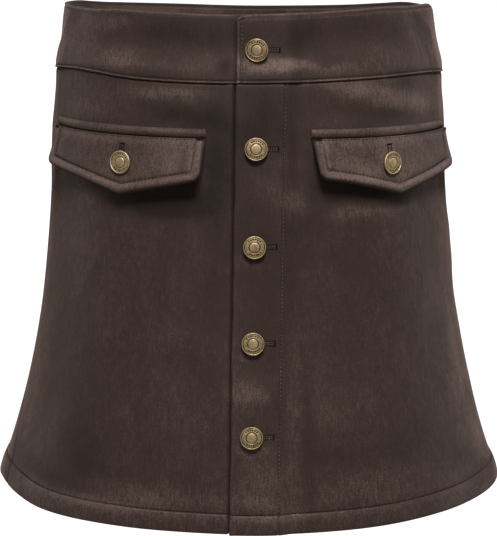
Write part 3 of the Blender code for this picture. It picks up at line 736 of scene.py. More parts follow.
def settle(findAngle, findHeight, height):
    # a column's angle depends on its height and an edge's height on the angle
    height = np.full(np.shape(findHeight(0.0)), height)
    for _ in range(4):
        angle = findAngle(height)
        height = findHeight(angle)
    return angle, height


def panelRelief(column, row, seed, fromSide):
    # the band overhangs the top edge, the turn-up makes the cloth fuller under its stitches
    over = panel["length"] - row
    stitched = 0.7 * stitchGroove(over - sewing["hemTurnUp"], column, seed)
    full = 1.1 * np.sin(math.pi * np.clip(over / sewing["hemTurnUp"], 0, 1) ** 1.4) ** 0.7
    tuck = -np.maximum(0.7 * bump(row, 1.3), 1.1 * bump(fromSide, 1.3))
    return stitched + full + tuck + sewing["pucker"] * uneven(column, seed + 1) * bump(row, 12)


panelRows = ticks(0, panel["length"], panel["step"],
                  [(0, 1.2, 0.3), (panel["length"] - sewing["hemTurnUp"], 1.6, 0.4),
                   (panel["length"], 1.0, 0.25)])


def panelWall(row):
    turned = panel["length"] - row < sewing["hemTurnUp"] + 1.5
    return np.where(turned, placket["wall"], panel["wall"])


def panelRim(row, fromSide):
    # how far the rounded hem and side edge fall back
    return np.maximum(roundOff(panel["length"] - row, edgeShare * placket["wall"]),
                      roundOff(fromSide, panel["sideRound"]))


def underPanelPlace(column, row):
    # columns count from the front line, to the left; the last ones lie under the placket
    start, fromSide = placket["lapStart"], column - underStart
    angle, height = settle(lambda height: frontColumn(column, height, -1, start, panel["width"]),
                           lambda angle: panelHeight(angle, row), -170.0)
    relief = panelRelief(column, row, 1, fromSide) - 2.5 * eased((column - start - 0.2) / 2.2)
    return onBody(angle, height, relief - panelRim(row, fromSide))


def underPanelWall(column, row):
    return panelWall(row) - 2 * panelRim(row, column - underStart)


def overPanelRim(column, row):
    free = roundOff(column - placket["edge"], edgeShare * placket["wall"])
    return np.maximum(panelRim(row, overEnd - column), free)


def overPanelPlace(column, row):
    fromEdge = column - placket["edge"]
    sway = 0.45 * uneven(row * 0.33, 6) * bump(fromEdge, 9) * eased(row / 30)
    angle, height = settle(
        lambda height: frontColumn(column, height, 1, overStart, panel["width"], sway),
        lambda angle: panelHeight(angle, row), -170.0)
    lift = placket["level"] * (1 - eased((column - placket["stitch"]) / placket["ease"]))
    lift = lift + stitchGroove(column - placket["stitch"], row, 5) + 0.3 * bump(fromEdge - 2.2, 1.6)
    lift = lift + 0.35 * uneven(row * 0.4, 9) * bump(fromEdge, 6)
    relief = panelRelief(column, row, 2, overEnd - column)
    return onBody(angle, height, relief + lift - overPanelRim(column, row))


def overPanelWall(column, row):
    faced = column < placket["stitch"] + 0.8
    return np.where(faced, placket["wall"], panelWall(row)) - 2 * overPanelRim(column, row)


def backPanelSide(column):
    return np.minimum(column, panel["backWidth"] - column)


def backPanelPlace(column, row):
    share, fromSide = column / panel["backWidth"], backPanelSide(column)
    angle, height = settle(lambda height: backColumn(share, height, sewing["sideGap"]),
                           lambda angle: panelHeight(angle, row), -170.0)
    return onBody(angle, height, panelRelief(column, row, 3, fromSide) - panelRim(row, fromSide))


def backPanelWall(column, row):
    return panelWall(row) - 2 * panelRim(row, backPanelSide(column))


def hemTone(row, fromSide):
    # rubbed lighter on the fold of the turn-up under its stitches, darker at the very edge; a
    # painted highlight just above the stitches, painted shade in their groove, under the band and
    # along the side seams
    over = panel["length"] - row
    turnUp = panel["turnUpRub"] * eased((sewing["hemTurnUp"] - over) / 3)
    return (bumpsAlong(over, *panel["hemWearAndPaintedLight"]) + turnUp + bumpsAlong(row, panel["shadeUnderBand"])
            + bumpsAlong(fromSide, panel["sideSeamShade"]))


def overPanelTone(column, row):
    # a painted highlight on the placket's rolled edge, painted shade on the edge itself and in the
    # groove of its stitches
    beside = bumpsAlong(column - placket["edge"], (1.6, 1.0, 0.35), (-1.0, 1.2, -1.6))
    beside = beside + bumpsAlong(column, (placket["stitch"], 1.2, -0.35))
    return hemTone(row, overEnd - column) + beside


def underPanelTone(column, row):
    fromSide = column - underStart
    # painted shade beside the placket's edge and under the band, a painted highlight on the roll
    # beside the side seam
    shaded = bumpsAlong(column - placket["edge"], (0.6, 1.7, -3.2)) + bumpsAlong(row, (0.0, 4.0, -1.3))
    return hemTone(row, fromSide) + shaded + bumpsAlong(fromSide, (4.0, 3.0, 0.8))


def backPanelTone(column, row):
    # painted shade on the strip beyond the side seam on the left, which lies darker in the photo
    strip = bumpsAlong(panel["backWidth"] - column, (0.0, 16.0, -1.2))
    return hemTone(row, backPanelSide(column)) + strip


cloth = [looks["suede"], looks["backing"]]
underPanel = clothSheet(
    "front_under", ticks(underStart, placket["underEnd"], panel["step"], [(underStart, 1.2, 0.35),
                                                                         (-16.5, 2.5, 0.8)]),
    panelRows, underPanelPlace, placket["wall"], underPanelWall, cloth, underPanelTone)
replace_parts(underPanel, "front_panel_underlap")

overPanel = clothSheet(
    "front_over", ticks(placket["edge"], overEnd, panel["step"],
                        [(placket["edge"], 2.0, 0.3), (placket["stitch"], 1.8, 0.4),
                         (overEnd, 1.0, 0.35)]),
    panelRows, overPanelPlace, placket["wall"], overPanelWall, cloth, overPanelTone)
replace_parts(overPanel, "front_panel_overlap")

backPanel = clothSheet(
    "back", ticks(0, panel["backWidth"], 3.0, [(0, 1.0, 0.35), (panel["backWidth"], 1.0, 0.35)]),
    panelRows, backPanelPlace, placket["wall"], backPanelWall, cloth, backPanelTone)
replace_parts(backPanel, "back_panel")
print("panels laid")

# waistband, in three pieces
band = {
    "wall": 2.8,
    "proud": 0.5,           # over the panels
    "height": 52.0,
    "kept": 9.0,            # rows this near an edge keep their distance to it
    "lapEnd": 22.5,         # the overlap keeps its level up to here
    "lapEase": 14.0,
    "corner": 5.0,
    "seamStitch": 2.2,      # rows of stitches inside the seam and the free end
    "endStitch": 4.2,
    "width": 215.0,         # front piece, from the lap to the side seam
    "backWidth": 370.0,
    "endRound": 0.9,        # the edge that is turned in at the side seam
    # where the nap is made lighter or darker along an edge, by wear and by painted light and shade:
    # distance from it, reach, how much lighter
    # painted highlights on the rolls at the seam, the rim and the lap's free end, painted shade in
    # the grooves beside them
    "seamWearAndPaintedLight": [(1.0, 0.8, 1.4), (3.2, 1.0, -1.0)],
    "rimWearAndPaintedLight": (1.0, 0.8, 0.8),
    "lapRimPaintedLight": [(0.8, 0.8, 1.2), (2.6, 0.9, -2.0), (4.2, 0.9, 1.5)],
    "underRimPaintedLight": [(1.0, 0.6, 1.0), (2.9, 0.9, -1.9)],
    "lapEndPaintedLight": [(1.4, 0.9, 2.2), (4.2, 0.8, -0.9)],
}
underBandStart = placket["lapStart"] - band["width"]
lapLevelEnd = band["lapEnd"] + band["lapEase"]


def bandHeight(angle, row, rimCut=0.0):
    rim, seam = rimHeight(angle) - rimCut, seamHeight(angle) + sewing["gap"] / 2
    kept = band["kept"]
    share = (row - kept) / (band["height"] - 2 * kept)
    middle = rim - kept + (seam - rim + 2 * kept) * share
    return np.where(row < kept, rim - row,
                    np.where(row > band["height"] - kept, seam + band["height"] - row, middle))


def bandRelief(column, row, seed):
    # the rim and the lower edge are turned over a cord's width and stitched down
    over = band["height"] - row
    rolls = bumpsAlong(row, (0.9, 0.8, 0.25), (2.4, 0.7, -0.3)) + bumpsAlong(over, (0.9, 0.8, 0.6))
    sunk = 0.4 * stitchGroove(over - band["seamStitch"], column, seed)
    return rolls + sunk + 0.18 * uneven(column, seed + 2) * bump(over, 14)


def facingPeep(angle):
    # how far the facing shows over the cloth along the front rim
    return 1.5 * eased((58 - np.abs(angle)) / 16)


def facingStep(row, fromEnd=99.0):
    # the facing's own rim lies back from the cloth, with a groove between the two
    shown = eased((fromEnd - 6) / 3)
    return (-0.9 * eased((1.9 - row) / 0.6) - 0.35 * bump(row - 2.0, 0.45)) * shown


def bandRim(row, fromEnd):
    # how far the rounded long edges and the end at the side seam fall back
    return np.maximum(roundOff(np.minimum(row, band["height"] - row), 0.45 * band["wall"]),
                      roundOff(fromEnd, band["endRound"]))


bandRows = ticks(0, band["height"], 1.7, [(0, 3.6, 0.3), (band["height"], 3.8, 0.3)])


def underBandPlace(column, row):
    start = placket["lapStart"]
    angle, height = settle(lambda height: frontColumn(column, height, -1, start, band["width"]),
                           lambda angle: bandHeight(angle, row, -facingPeep(angle)), 0.0)
    lapped = -1.4 * eased((column - start + 4) / 5)
    rim = bandRim(row, column - underBandStart) - facingStep(row)
    return onBody(angle, height, band["proud"] + bandRelief(column, row, 11) + lapped - rim)


def underBandWall(column, row):
    return band["wall"] - 2 * bandRim(row, column - underBandStart)


def overBandRim(column, row):
    free = roundOff(column - placket["edge"], 0.45 * band["wall"])
    return np.maximum(bandRim(row, band["width"] - column), free)


def overBandPlace(column, row):
    fromEnd = column - placket["edge"]
    cut = roundOff(fromEnd, band["corner"])         # rounds the free end's top corner
    peep = eased((fromEnd - 5) / 8)
    angle, height = settle(
        lambda height: frontColumn(column, height, 1, lapLevelEnd, band["width"] - lapLevelEnd),
        lambda angle: bandHeight(angle, row, cut - facingPeep(angle) * peep), 0.0)
    lift = (band["wall"] + sewing["gap"]) * (1 - eased((column - band["lapEnd"]) / band["lapEase"]))
    lift = lift + 0.45 * stitchGroove(fromEnd - band["endStitch"], row, 15)
    lift = lift + 0.3 * bump(fromEnd - 1.6, 1.2)
    rim = overBandRim(column, row) - facingStep(row, fromEnd)
    return onBody(angle, height, band["proud"] + lift + bandRelief(column, row, 12) - rim)


def overBandWall(column, row):
    return band["wall"] - 2 * overBandRim(column, row)


def backBandEnd(column):
    return np.minimum(column, band["backWidth"] - column)


def backBandPlace(column, row):
    share, rim = column / band["backWidth"], bandRim(row, backBandEnd(column))
    angle, height = settle(lambda height: backColumn(share, height, sewing["gap"]),
                           lambda angle: bandHeight(angle, row), 0.0)
    return onBody(angle, height, band["proud"] + bandRelief(column, row, 13) - rim)


def backBandWall(column, row):
    return band["wall"] - 2 * bandRim(row, backBandEnd(column))


def bandTone(column, row):
    # lighter on the rolls at the rim and above the seam, partly wear and partly a painted
    # highlight, and painted shade in the stitch groove above the seam
    return bumpsAlong(band["height"] - row, *band["seamWearAndPaintedLight"]) + bumpsAlong(row, band["rimWearAndPaintedLight"])


def overBandTone(column, row):
    fromEnd = column - placket["edge"]
    # painted light and shade along the lap's rim (a light roll, a dark groove, a lighter edge) and
    # along its free end (a light roll, a dark stitch line)
    rim = bumpsAlong(row, *band["lapRimPaintedLight"]) * eased((fromEnd - 6) / 4)
    return bandTone(column, row) + rim + bumpsAlong(fromEnd, *band["lapEndPaintedLight"])


def underBandTone(column, row):
    # painted shade beside the placket's edge, painted light and shade along the rim
    shaded = bumpsAlong(column - placket["edge"], (0.6, 2.2, -3.2))
    return bandTone(column, row) + bumpsAlong(row, *band["underRimPaintedLight"]) + shaded


bandCloth = [looks["suede"], looks["facing"]]
flapCloth = [looks["suede"]]
underBand = clothSheet(
    "waistband_under",
    ticks(underBandStart, placket["underEnd"], 2.2, [(underBandStart, 1.2, 0.4)]), bandRows,
    underBandPlace, band["wall"], underBandWall, bandCloth, underBandTone)
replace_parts(underBand, "waistband_underlap")

overBand = clothSheet(
    "waistband_over", ticks(placket["edge"], band["width"], 2.2,
                            [(placket["edge"], 5.5, 0.35), (band["width"], 1.2, 0.4)]),
    bandRows, overBandPlace, band["wall"], overBandWall, bandCloth, overBandTone)
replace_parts(overBand, "waistband_overlap")

backBand = clothSheet(
    "waistband_back_piece",
    ticks(0, band["backWidth"], 2.4, [(0, 1.2, 0.4), (band["backWidth"], 1.2, 0.4)]), bandRows,
    backBandPlace, band["wall"], backBandWall, bandCloth, bandTone)
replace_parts(backBand, "waistband_back")
print("waistband laid")

# pocket flaps, and the welts they are sewn under
flapForm = {
    "wall": 2.8, "corner": 6.0, "margin": 8.0, "marginRise": 1.7, "fieldRise": 0.5,
    "edgeRound": 2.4, "underRound": 0.35,
    "rows": 46.0,           # the flat grid's rows; those kept keep their distance to the lower edge
    "kept": 9.0,
    # painted light and shade along the margin's roll and the seam under the welt: distance, reach,
    # how much lighter
    "marginPaintedLight": [(5.6, 1.6, 1.5), (0.0, 2.0, -2.2), (8.0, 0.7, -0.9)],
    "seamWearAndPaintedLight": [(0.0, 1.1, -0.8), (3.5, 2.5, 0.8)],
    "step": 0.95,
    "weltHeight": 7.0, "weltRise": 2.6, "weltPast": 0.5, "weltEndRound": 1.6,
}
flaps = [
    {"name": "right", "side": -1, "inner": 34.8, "width": 145.0, "seam": -66.4, "tilt": 0.0,
     "slant": 3.2, "flare": 3.0, "innerDrop": 31.5, "outerDrop": 30.4, "pointDrop": 45.0,
     "pointAt": 0.445, "arches": (0.3, 2.9), "lifts": (12.0, 5.2, 7.0), "buttonArc": 100.5,
     "buttonHeight": -87.0, "buttonTurn": 0.0},
    {"name": "left", "side": 1, "inner": 45.5, "width": 143.0, "seam": -67.3, "tilt": -3.2,
     "slant": 4.0, "flare": 0.5, "innerDrop": 30.0, "outerDrop": 30.0, "pointDrop": 44.6,
     "pointAt": 0.49, "arches": (2.0, 1.3), "lifts": (9.6, 4.6, 6.5), "buttonArc": 109.3,
     "buttonHeight": -89.0, "buttonTurn": 6.0},
]


def flapSeam(flap, along):
    return flap["seam"] + flap["tilt"] * along / flap["width"]


def flapSlopes(flap):
    point = flap["pointAt"] * flap["width"]
    fallIn = (flap["pointDrop"] - flap["innerDrop"]) / point
    return point, fallIn, (flap["pointDrop"] - flap["outerDrop"]) / (flap["width"] - point)


def flapEdge(flap, along, down):
    # distance inward from the flap's edge, with rounded corners; the seam is no edge
    point, fallIn, fallOut = flapSlopes(flap)
    slopeIn = (flap["innerDrop"] + fallIn * along - down) / math.hypot(1, fallIn)
    slopeOut = (flap["pointDrop"] - fallOut * (along - point) - down) / math.hypot(1, fallOut)
    bottom = np.where(along < point, slopeIn, slopeOut)
    side = np.minimum(along, flap["width"] - along)
    radius = flapForm["corner"]
    near = radius - np.hypot(np.maximum(radius - side, 0), np.maximum(radius - bottom, 0))
    return np.where((side < radius) & (bottom < radius), near, np.minimum(side, bottom))


def flapLength(flap, along):
    # length below the seam: two slopes to a blunt point, the corners rounded
    point, fallIn, fallOut = flapSlopes(flap)
    blunt = np.hypot(along - point, 4.0) - 4.0
    drop = flap["pointDrop"] - np.where(along < point, fallIn, fallOut) * blunt
    inside = np.clip(1 - np.minimum(along, flap["width"] - along) / flapForm["corner"], 0, 1)
    return drop - flapForm["corner"] * (1 - np.sqrt(1 - inside ** 2))


def flapLift(flap, along, share):
    # how far the flap stands off the body at a share of its length
    first, middle, last = flap["lifts"]
    lift = smoothLine([(0, first), (flap["pointAt"], middle), (1, last)], along / flap["width"])
    return lift * share ** 1.4


def onFlap(flap, along, down, out=0.0):
    # a point of the flap's face by its place on the flat flap
    share = down / flapLength(flap, along)
    u = along / flap["width"]
    height = flapSeam(flap, along) - sewing["gap"] / 2 - down
    point = flap["pointAt"] * flap["width"]
    parts = along / point, (along - point) / (flap["width"] - point)
    for arch, part in zip(flap["arches"], parts):
        height = height + arch * np.sin(math.pi * np.clip(part, 0, 1)) * share ** 2
    lean = (flap["slant"] * (1 - u) + flap["flare"] * u) * share
    out = out + sewing["gap"] + flapForm["wall"] + flapLift(flap, along, share)
    out = out + flapRelief(flap, along, down)
    return onBody(angleAtArc(flap["side"] * (flap["inner"] + along + lean), height), height, out)


def flapRelief(flap, along, down):
    # the rolled margin, the field inside its stitches and the tuck under the welt
    edge, margin = flapEdge(flap, along, down), flapForm["margin"]
    roll = flapForm["marginRise"] * np.sin(np.clip(edge / margin, 0, 1) ** 0.8 * math.pi) ** 0.8
    field = flapForm["fieldRise"] * eased((edge - margin) / 5)
    sunk = stitchGroove(edge - margin, along + down, 21 + flap["side"])
    tuck = -0.75 * bump(down, 1.2)
    return roll + field + sunk + tuck - roundOff(edge, flapForm["edgeRound"])


def flapWall(flap, along, down):
    under = roundOff(flapEdge(flap, along, down), flapForm["underRound"])
    return flapForm["wall"] + flapRelief(flap, along, down) - under


def flapTone(flap, along, down):
    # painted light and shade: a highlight on the roll beside its stitches, shade at the edge, in
    # the stitch groove and in the seam under the welt, and the whole flap painted lighter as its
    # face tilts up to the light
    edge = flapEdge(flap, along, down)
    return 0.75 + bumpsAlong(edge, *flapForm["marginPaintedLight"]) + bumpsAlong(down, *flapForm["seamWearAndPaintedLight"])


def makeFlap(flap):
    # a column keeps its place along the seam; rows share the length below it
    lowest, kept, step = flapForm["rows"], flapForm["kept"], flapForm["step"]
    columns = ticks(0, flap["width"], step, [(0, 1.4, 0.3), (flap["width"], 1.4, 0.3)])
    rows = ticks(0, lowest, step, [(0, 1.5, 0.4), (lowest, 1.4, 0.3)])
    if flap["side"] < 0:
        columns = columns[::-1]

    def laid(column, row):
        length = flapLength(flap, column)
        over = lowest - row
        down = np.where(over < kept, length - over, (length - kept) * row / (lowest - kept))
        return np.maximum(down, 0)

    piece = clothSheet("flap_" + flap["name"], columns, rows,
                       lambda column, row: onFlap(flap, column, laid(column, row)),
                       flapForm["wall"] + flapForm["marginRise"],
                       lambda column, row: flapWall(flap, column, laid(column, row)), flapCloth,
                       lambda column, row: flapTone(flap, column, laid(column, row)), flapNapAndPaintedLight)
    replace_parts(piece, "pocket_flap_" + flap["name"])


def weltRise(flap, along, up):
    # the welt's height over the cloth, and how far off its middle line a place is, from -1 to 1
    share = np.clip(2 * up / flapForm["weltHeight"] - 1, -1, 1)
    rise = flapForm["weltRise"] * (0.35 + 0.65 * np.sqrt(1 - 0.97 * share ** 2))
    fromEnd = np.minimum(along, flap["width"] - along) + flapForm["weltPast"]
    return rise - roundOff(fromEnd, flapForm["weltEndRound"]), share


def onWelt(flap, along, up):
    height = flapSeam(flap, along) + sewing["gap"] / 2 + up
    rise, share = weltRise(flap, along, up)
    rise = rise + 0.12 * uneven(along, 31) * (1 - share ** 2)
    arc = flap["side"] * (flap["inner"] + along)
    return onBody(angleAtArc(arc, height), height, sewing["gap"] + rise)


def makeWelt(flap):
    high, start = flapForm["weltHeight"], -flapForm["weltPast"]
    end = flap["width"] - start
    columns = ticks(start, end, 1.6, [(start, 1.6, 0.3), (end, 1.6, 0.3)])
    rows = ticks(0, high, 0.55, [(0, 0.8, 0.2), (high, 0.8, 0.2)])
    if flap["side"] < 0:
        columns = columns[::-1]

    # the welt's tone: a painted highlight along its rounded top, painted shade at its lower seam
    piece = clothSheet(
        "welt_" + flap["name"], columns, rows, lambda column, row: onWelt(flap, column, high - row),
        flapForm["weltRise"] + 0.3, lambda column, row: weltRise(flap, column, high - row)[0],
        flapCloth, lambda column, row: bumpsAlong(row, (2.2, 1.8, 1.3), (high, 1.6, -0.8)), flapNapAndPaintedLight)
    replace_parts(piece, "pocket_welt_" + flap["name"])


for flap in flaps:
    makeFlap(flap)
    makeWelt(flap)
print("flaps laid")

# rows of stitches
stitch = {"length": 2.0, "pitch": 3.1, "thick": 0.62, "flat": 0.7}


def smallThread(length, thick, flatness=0.8):
    # one stitch lying along X, a few dozen faces
    bm = bmesh.new()
    bmesh.ops.create_uvsphere(bm, u_segments=6, v_segments=5, radius=0.5)
    bmesh.ops.rotate(bm, verts=bm.verts, matrix=Matrix.Rotation(math.pi / 2, 3, "Y"))
    bmesh.ops.scale(bm, verts=bm.verts, vec=(length * mm, thick * mm, thick * flatness * mm))
    mesh = bpy.data.meshes.new("stitch")
    bm.to_mesh(mesh)
    bm.free()
    mesh.shade_smooth()
    return mesh


def setDown(point, along, normal):
    # a matrix that puts a shape's X along the seam and its Z out of the cloth
    normal = Vector(normal).normalized()
    along = Vector(along)
    along = (along - normal * along.dot(normal)).normalized()
    turn = Matrix((along, normal.cross(along), normal)).transposed().to_4x4()
    return Matrix.Translation(Vector(point) * mm) @ turn


def joinCopies(name, shape, places, look):
    bm = bmesh.new()
    for place in places:
        copy = shape.copy()
        copy.transform(place)
        bm.from_mesh(copy)
        bpy.data.meshes.remove(copy)
    mesh = bpy.data.meshes.new(name)
    bm.to_mesh(mesh)
    bm.free()
    mesh.materials.append(look)
    finishPiece(bpy.data.objects.new(name, mesh))


def alongLine(points, pitch, size):
    # stitches along a line of points on the cloth: (middle, direction) for each
    points = np.asarray(points)
    lengths = np.linalg.norm(np.diff(points, axis=0), axis=1)
    passed = np.concatenate([[0], np.cumsum(lengths)])
    for k in range(int((passed[-1] - size) // pitch) + 1):
        ends = [np.array([np.interp(at + pitch * k, passed, points[:, axis]) for axis in range(3)])
                for at in (0, size)]
        yield (ends[0] + ends[1]) / 2, ends[1] - ends[0]


def outward(point):
    # the body's own direction out at a point near it
    angle = math.degrees(math.atan2(point[0] / 1.15, -point[1]))
    return outlineNormal(np.array(angle), np.array(point[2]))


def sewRow(name, lines, look="thread", size=1.0):
    shape = smallThread(stitch["length"] * size, stitch["thick"] * size, stitch["flat"])
    spots = [spot for line in lines for spot in alongLine(line, stitch["pitch"], stitch["length"])]
    places = [setDown(middle, along, outward(middle)) for middle, along in spots]
    joinCopies(name, shape, places, looks[look])


def lineOn(place, columns, rows, lift=0.15):
    # a line on a piece, moved just out of its groove
    columns, rows = np.broadcast_arrays(np.asarray(columns, float), np.asarray(rows, float))
    points = place(columns, rows)
    return points + np.array([outward(point) for point in points]) * lift


hemRow = panel["length"] - sewing["hemTurnUp"]
sewRow("hem_stitching", [
    lineOn(underPanelPlace, np.arange(underStart + 1, placket["edge"] - 1, 2.0), hemRow),
    lineOn(overPanelPlace, np.arange(placket["edge"] + 1.5, overEnd - 1, 2.0), hemRow),
    lineOn(backPanelPlace, np.arange(1, panel["backWidth"] - 1, 2.0), hemRow)], "darkThread")
# the placket and the band's end are sewn with thread painted light for its glints
fineThread = "paintedGlintThread", 0.72
sewRow("placket_stitching", [
    lineOn(overPanelPlace, placket["stitch"], np.arange(2, hemRow - 0.5, 2.0), 0.3)], *fineThread)
seamRow = band["height"] - band["seamStitch"]
endColumn = placket["edge"] + band["endStitch"]
sewRow("waistband_stitching", [
    lineOn(underBandPlace, np.arange(underBandStart + 1, placket["edge"] - 1, 2.0), seamRow),
    lineOn(overBandPlace, np.arange(endColumn, band["width"] - 1, 2.0), seamRow),
    lineOn(backBandPlace, np.arange(1, band["backWidth"] - 1, 2.0), seamRow),
])
sewRow("waistband_end_stitching", [
    lineOn(overBandPlace, endColumn, np.arange(3.5, seamRow - 2, 1.0), 0.4)], *fineThread)


def flapStitchLine(flap):
    # the line one margin inside the flap's edge, from the seam round the point and back up
    margin, width = flapForm["margin"], flap["width"]
    point, fallIn, fallOut = flapSlopes(flap)
    falls = (fallIn + fallOut) / 2, fallIn, fallOut
    up, upIn, upOut = (margin * math.hypot(1, fall) for fall in falls)
    corners = [(margin, 1.0), (margin, flap["innerDrop"] + fallIn * margin - upIn),
               (point + (upOut - upIn) / (fallIn + fallOut), flap["pointDrop"] - up),
               (width - margin, flap["outerDrop"] + fallOut * margin - upOut),
               (width - margin, 1.0)]
    line = []
    for (a0, d0), (a1, d1) in zip(corners, corners[1:]):
        steps = max(int(math.hypot(a1 - a0, d1 - d0)), 2)
        line += [(a0 + (a1 - a0) * k / steps, d0 + (d1 - d0) * k / steps) for k in range(steps)]
    return np.array(line + [corners[-1]])


for flap in flaps:
    line = flapStitchLine(flap)
    inEnd = line[:, 0] < flapForm["margin"] + 0.5
    points = onFlap(flap, line[:, 0], line[:, 1], np.where(inEnd, 0.1, 0.45))
    along = np.arange(0, flap["width"], 2.0)
    ditch = onFlap(flap, along, np.full(len(along), 0.9), 0.5)
    sewRow("flap_stitching_" + flap["name"], [points, ditch], "darkThread")
print("rows of stitches sewn")

# buttonholes, and bar tacks at the ends of the flaps
hole = {
    "start": 5.0, "end": 16.2, "flapEnd": 13.7,     # from the button's middle
    "slit": 1.15, "side": 1.15, "bar": 5.4,         # half the slit, a thread beside it, the end bar
    "pitch": 0.85, "thick": 0.62, "speckPitch": 1.9,
}


def satin(name, surface, end):
    # close short threads either side of a slit, and a bar across its end; surface takes
    # (along, across) in millimetres from the button's middle
    threads, start = [], hole["start"]
    for k in range(int((end - start) / hole["pitch"])):
        along = start + k * hole["pitch"]
        for side in (-1, 1):
            near, far = side * hole["slit"], side * (hole["slit"] + hole["side"])
            jitter = 0.22 * math.sin(k * 2.7 + side)
            threads.append((surface(along, near), surface(along + jitter, far + 0.5 * jitter)))
    for k in range(3):
        along = end + 0.5 * k
        half = hole["bar"] / 2 + 0.25 * math.sin(k * 1.9)
        threads.append((surface(along, -half), surface(along, half)))
    threads.append((surface(start, 0), surface(end, 0)))
    # the light knots: thread painted light for glints on the buttonhole's stitches
    knots = [(surface(along, side * 0.55), surface(along + 0.5, side * 0.75))
             for along in np.arange(start + 0.6, end, hole["speckPitch"]) for side in (-1, 1)]
    for part, look, strands in (("", "darkThread", threads), ("_knots", "paintedGlintThread", knots)):
        bm = bmesh.new()
        for first, last in strands:
            first, last = Vector(first), Vector(last)
            shape = smallThread((last - first).length + 0.3, hole["thick"])
            shape.transform(setDown((first + last) / 2, last - first, outward(first)))
            bm.from_mesh(shape)
            bpy.data.meshes.remove(shape)
        mesh = bpy.data.meshes.new(name + part)
        bm.to_mesh(mesh)
        bm.free()
        mesh.materials.append(looks[look])
        finishPiece(bpy.data.objects.new(name + part, mesh))


buttonHeights = [-0.8, -74.3, -148.0, -221.7, -293.0]


def frontSurface(height, level):
    return lambda along, across: onBody(frontAngle(np.array(along), np.array(height + across)),
                                        np.array(height + across), level + 0.12)


def frontLevel(number):
    # the first button sits on the waistband's lap, the others on the placket
    return band["proud"] + band["wall"] + sewing["gap"] if number == 1 else placket["level"]


for number, height in enumerate(buttonHeights, start=1):
    satin("buttonhole_front_%d" % number, frontSurface(height, frontLevel(number)), hole["end"])

for flap in flaps:
    along = flap["buttonArc"] - flap["inner"]
    down = flapSeam(flap, along) - flap["buttonHeight"]

    def flapSurface(up, across):
        return onFlap(flap, np.array(along + across), np.array(down - up), 0.12)

    satin("buttonhole_flap_" + flap["name"], flapSurface, hole["flapEnd"])
    for end, at in (("inner", 1.5), ("outer", flap["width"] - 6.5)):
        threads = []
        for k in range(12):
            spot = onFlap(flap, np.array(at + k * 0.45), np.array(0.6), 0.9)
            threads.append(setDown(spot, (0.15, 0, 1), outward(spot)))
        joinCopies("bar_tack_%s_%s" % (flap["name"], end), smallThread(2.4, 0.45), threads,
                   looks["darkThread"])
print("buttonholes worked")

# buttons and their backs
button = {
    # the face as (radius, height over the cloth, patina in it), from the middle outwards
    "face": [(0.0, 3.80, 0.10), (2.0, 3.78, 0.08), (3.5, 3.68, 0.0), (3.8, 3.60, 0.1),
             (3.95, 3.36, 1.0), (4.25, 3.35, 1.0), (4.45, 3.54, 0.5), (4.8, 3.60, 0.25),
             (5.5, 3.59, 0.25), (6.9, 3.52, 0.25), (7.3, 3.45, 0.3), (7.5, 3.28, 1.0),
             (7.75, 3.28, 1.0), (7.9, 3.66, 0.1), (8.2, 3.82, 0.0), (8.5, 3.76, 0.0),
             (8.7, 3.5, 0.0), (8.8, 3.1, 0.1), (8.6, 2.6, 0.5), (8.1, 2.2, 0.9),
             (5.5, 1.9, 0.9), (3.2, 1.8, 0.9), (3.2, 0.0, 0.9), (0.0, 0.0, 0.9)],
    "back": [(0.0, 1.3, 0.1), (2.4, 1.25, 0.1), (3.4, 1.05, 0.1), (4.2, 0.75, 0.1),
             (4.5, 0.4, 0.2), (4.3, 0.0, 0.5), (0.0, 0.0, 0.9)],
    "steps": 64,
    "backSteps": 32,
    "faceOver": 2.8,            # what lies higher than this is the front of the face
    "dashRing": (5.5, 6.6),     # the ring that holds a row of plain dashes
    "dashEvery": 3,             # steps round from one dash to the next
    "dashArc": 52,              # degrees to either side of the top and the bottom
}


def turned(name, profile, steps, place, dashes=None, look="brass"):
    # a turned metal piece; dashes sinks a row of plain marks into one ring of its face
    bm = bmesh.new()
    patina = bm.verts.layers.float.new("patina")
    ring = []
    for radius, height, grime in profile:
        vert = bm.verts.new((radius * mm, 0, height * mm))
        vert[patina] = grime
        ring.append(vert)
    edges = [bm.edges.new(pair) for pair in zip(ring, ring[1:])]
    bmesh.ops.spin(bm, geom=ring + edges, cent=(0, 0, 0), axis=(0, 0, 1), angle=2 * math.pi,
                   steps=steps, use_merge=True)
    bmesh.ops.remove_doubles(bm, verts=bm.verts, dist=0.002 * mm)
    bmesh.ops.recalc_face_normals(bm, faces=bm.faces)
    if dashes:
        low, high = (edge * mm for edge in dashes)
        every, chosen = button["dashEvery"], []
        for face in bm.faces:
            middle = face.calc_center_median()
            turn = math.degrees(math.atan2(middle.y, middle.x)) % 360
            number = int(turn / (360 / steps))
            inArc = abs(turn % 180 - 90) < button["dashArc"]
            onFace = low < middle.xy.length < high and middle.z > button["faceOver"] * mm
            if onFace and inArc and number % every:
                chosen.append(face)
        bmesh.ops.inset_region(bm, faces=chosen, thickness=0.1 * mm, depth=-0.15 * mm,
                               use_even_offset=True)
        for face in chosen:
            for vert in face.verts:
                vert[patina] = 0.9
    bmesh.ops.transform(bm, verts=bm.verts, matrix=place)
    mesh = bpy.data.meshes.new(name)
    bm.to_mesh(mesh)
    bm.free()
    mesh.shade_smooth()
    mesh.materials.append(looks[look])
    return finishPiece(bpy.data.objects.new(name, mesh))


def facingAlong(direction):
    return direction.to_track_quat("Z", "Y").to_matrix().to_4x4()


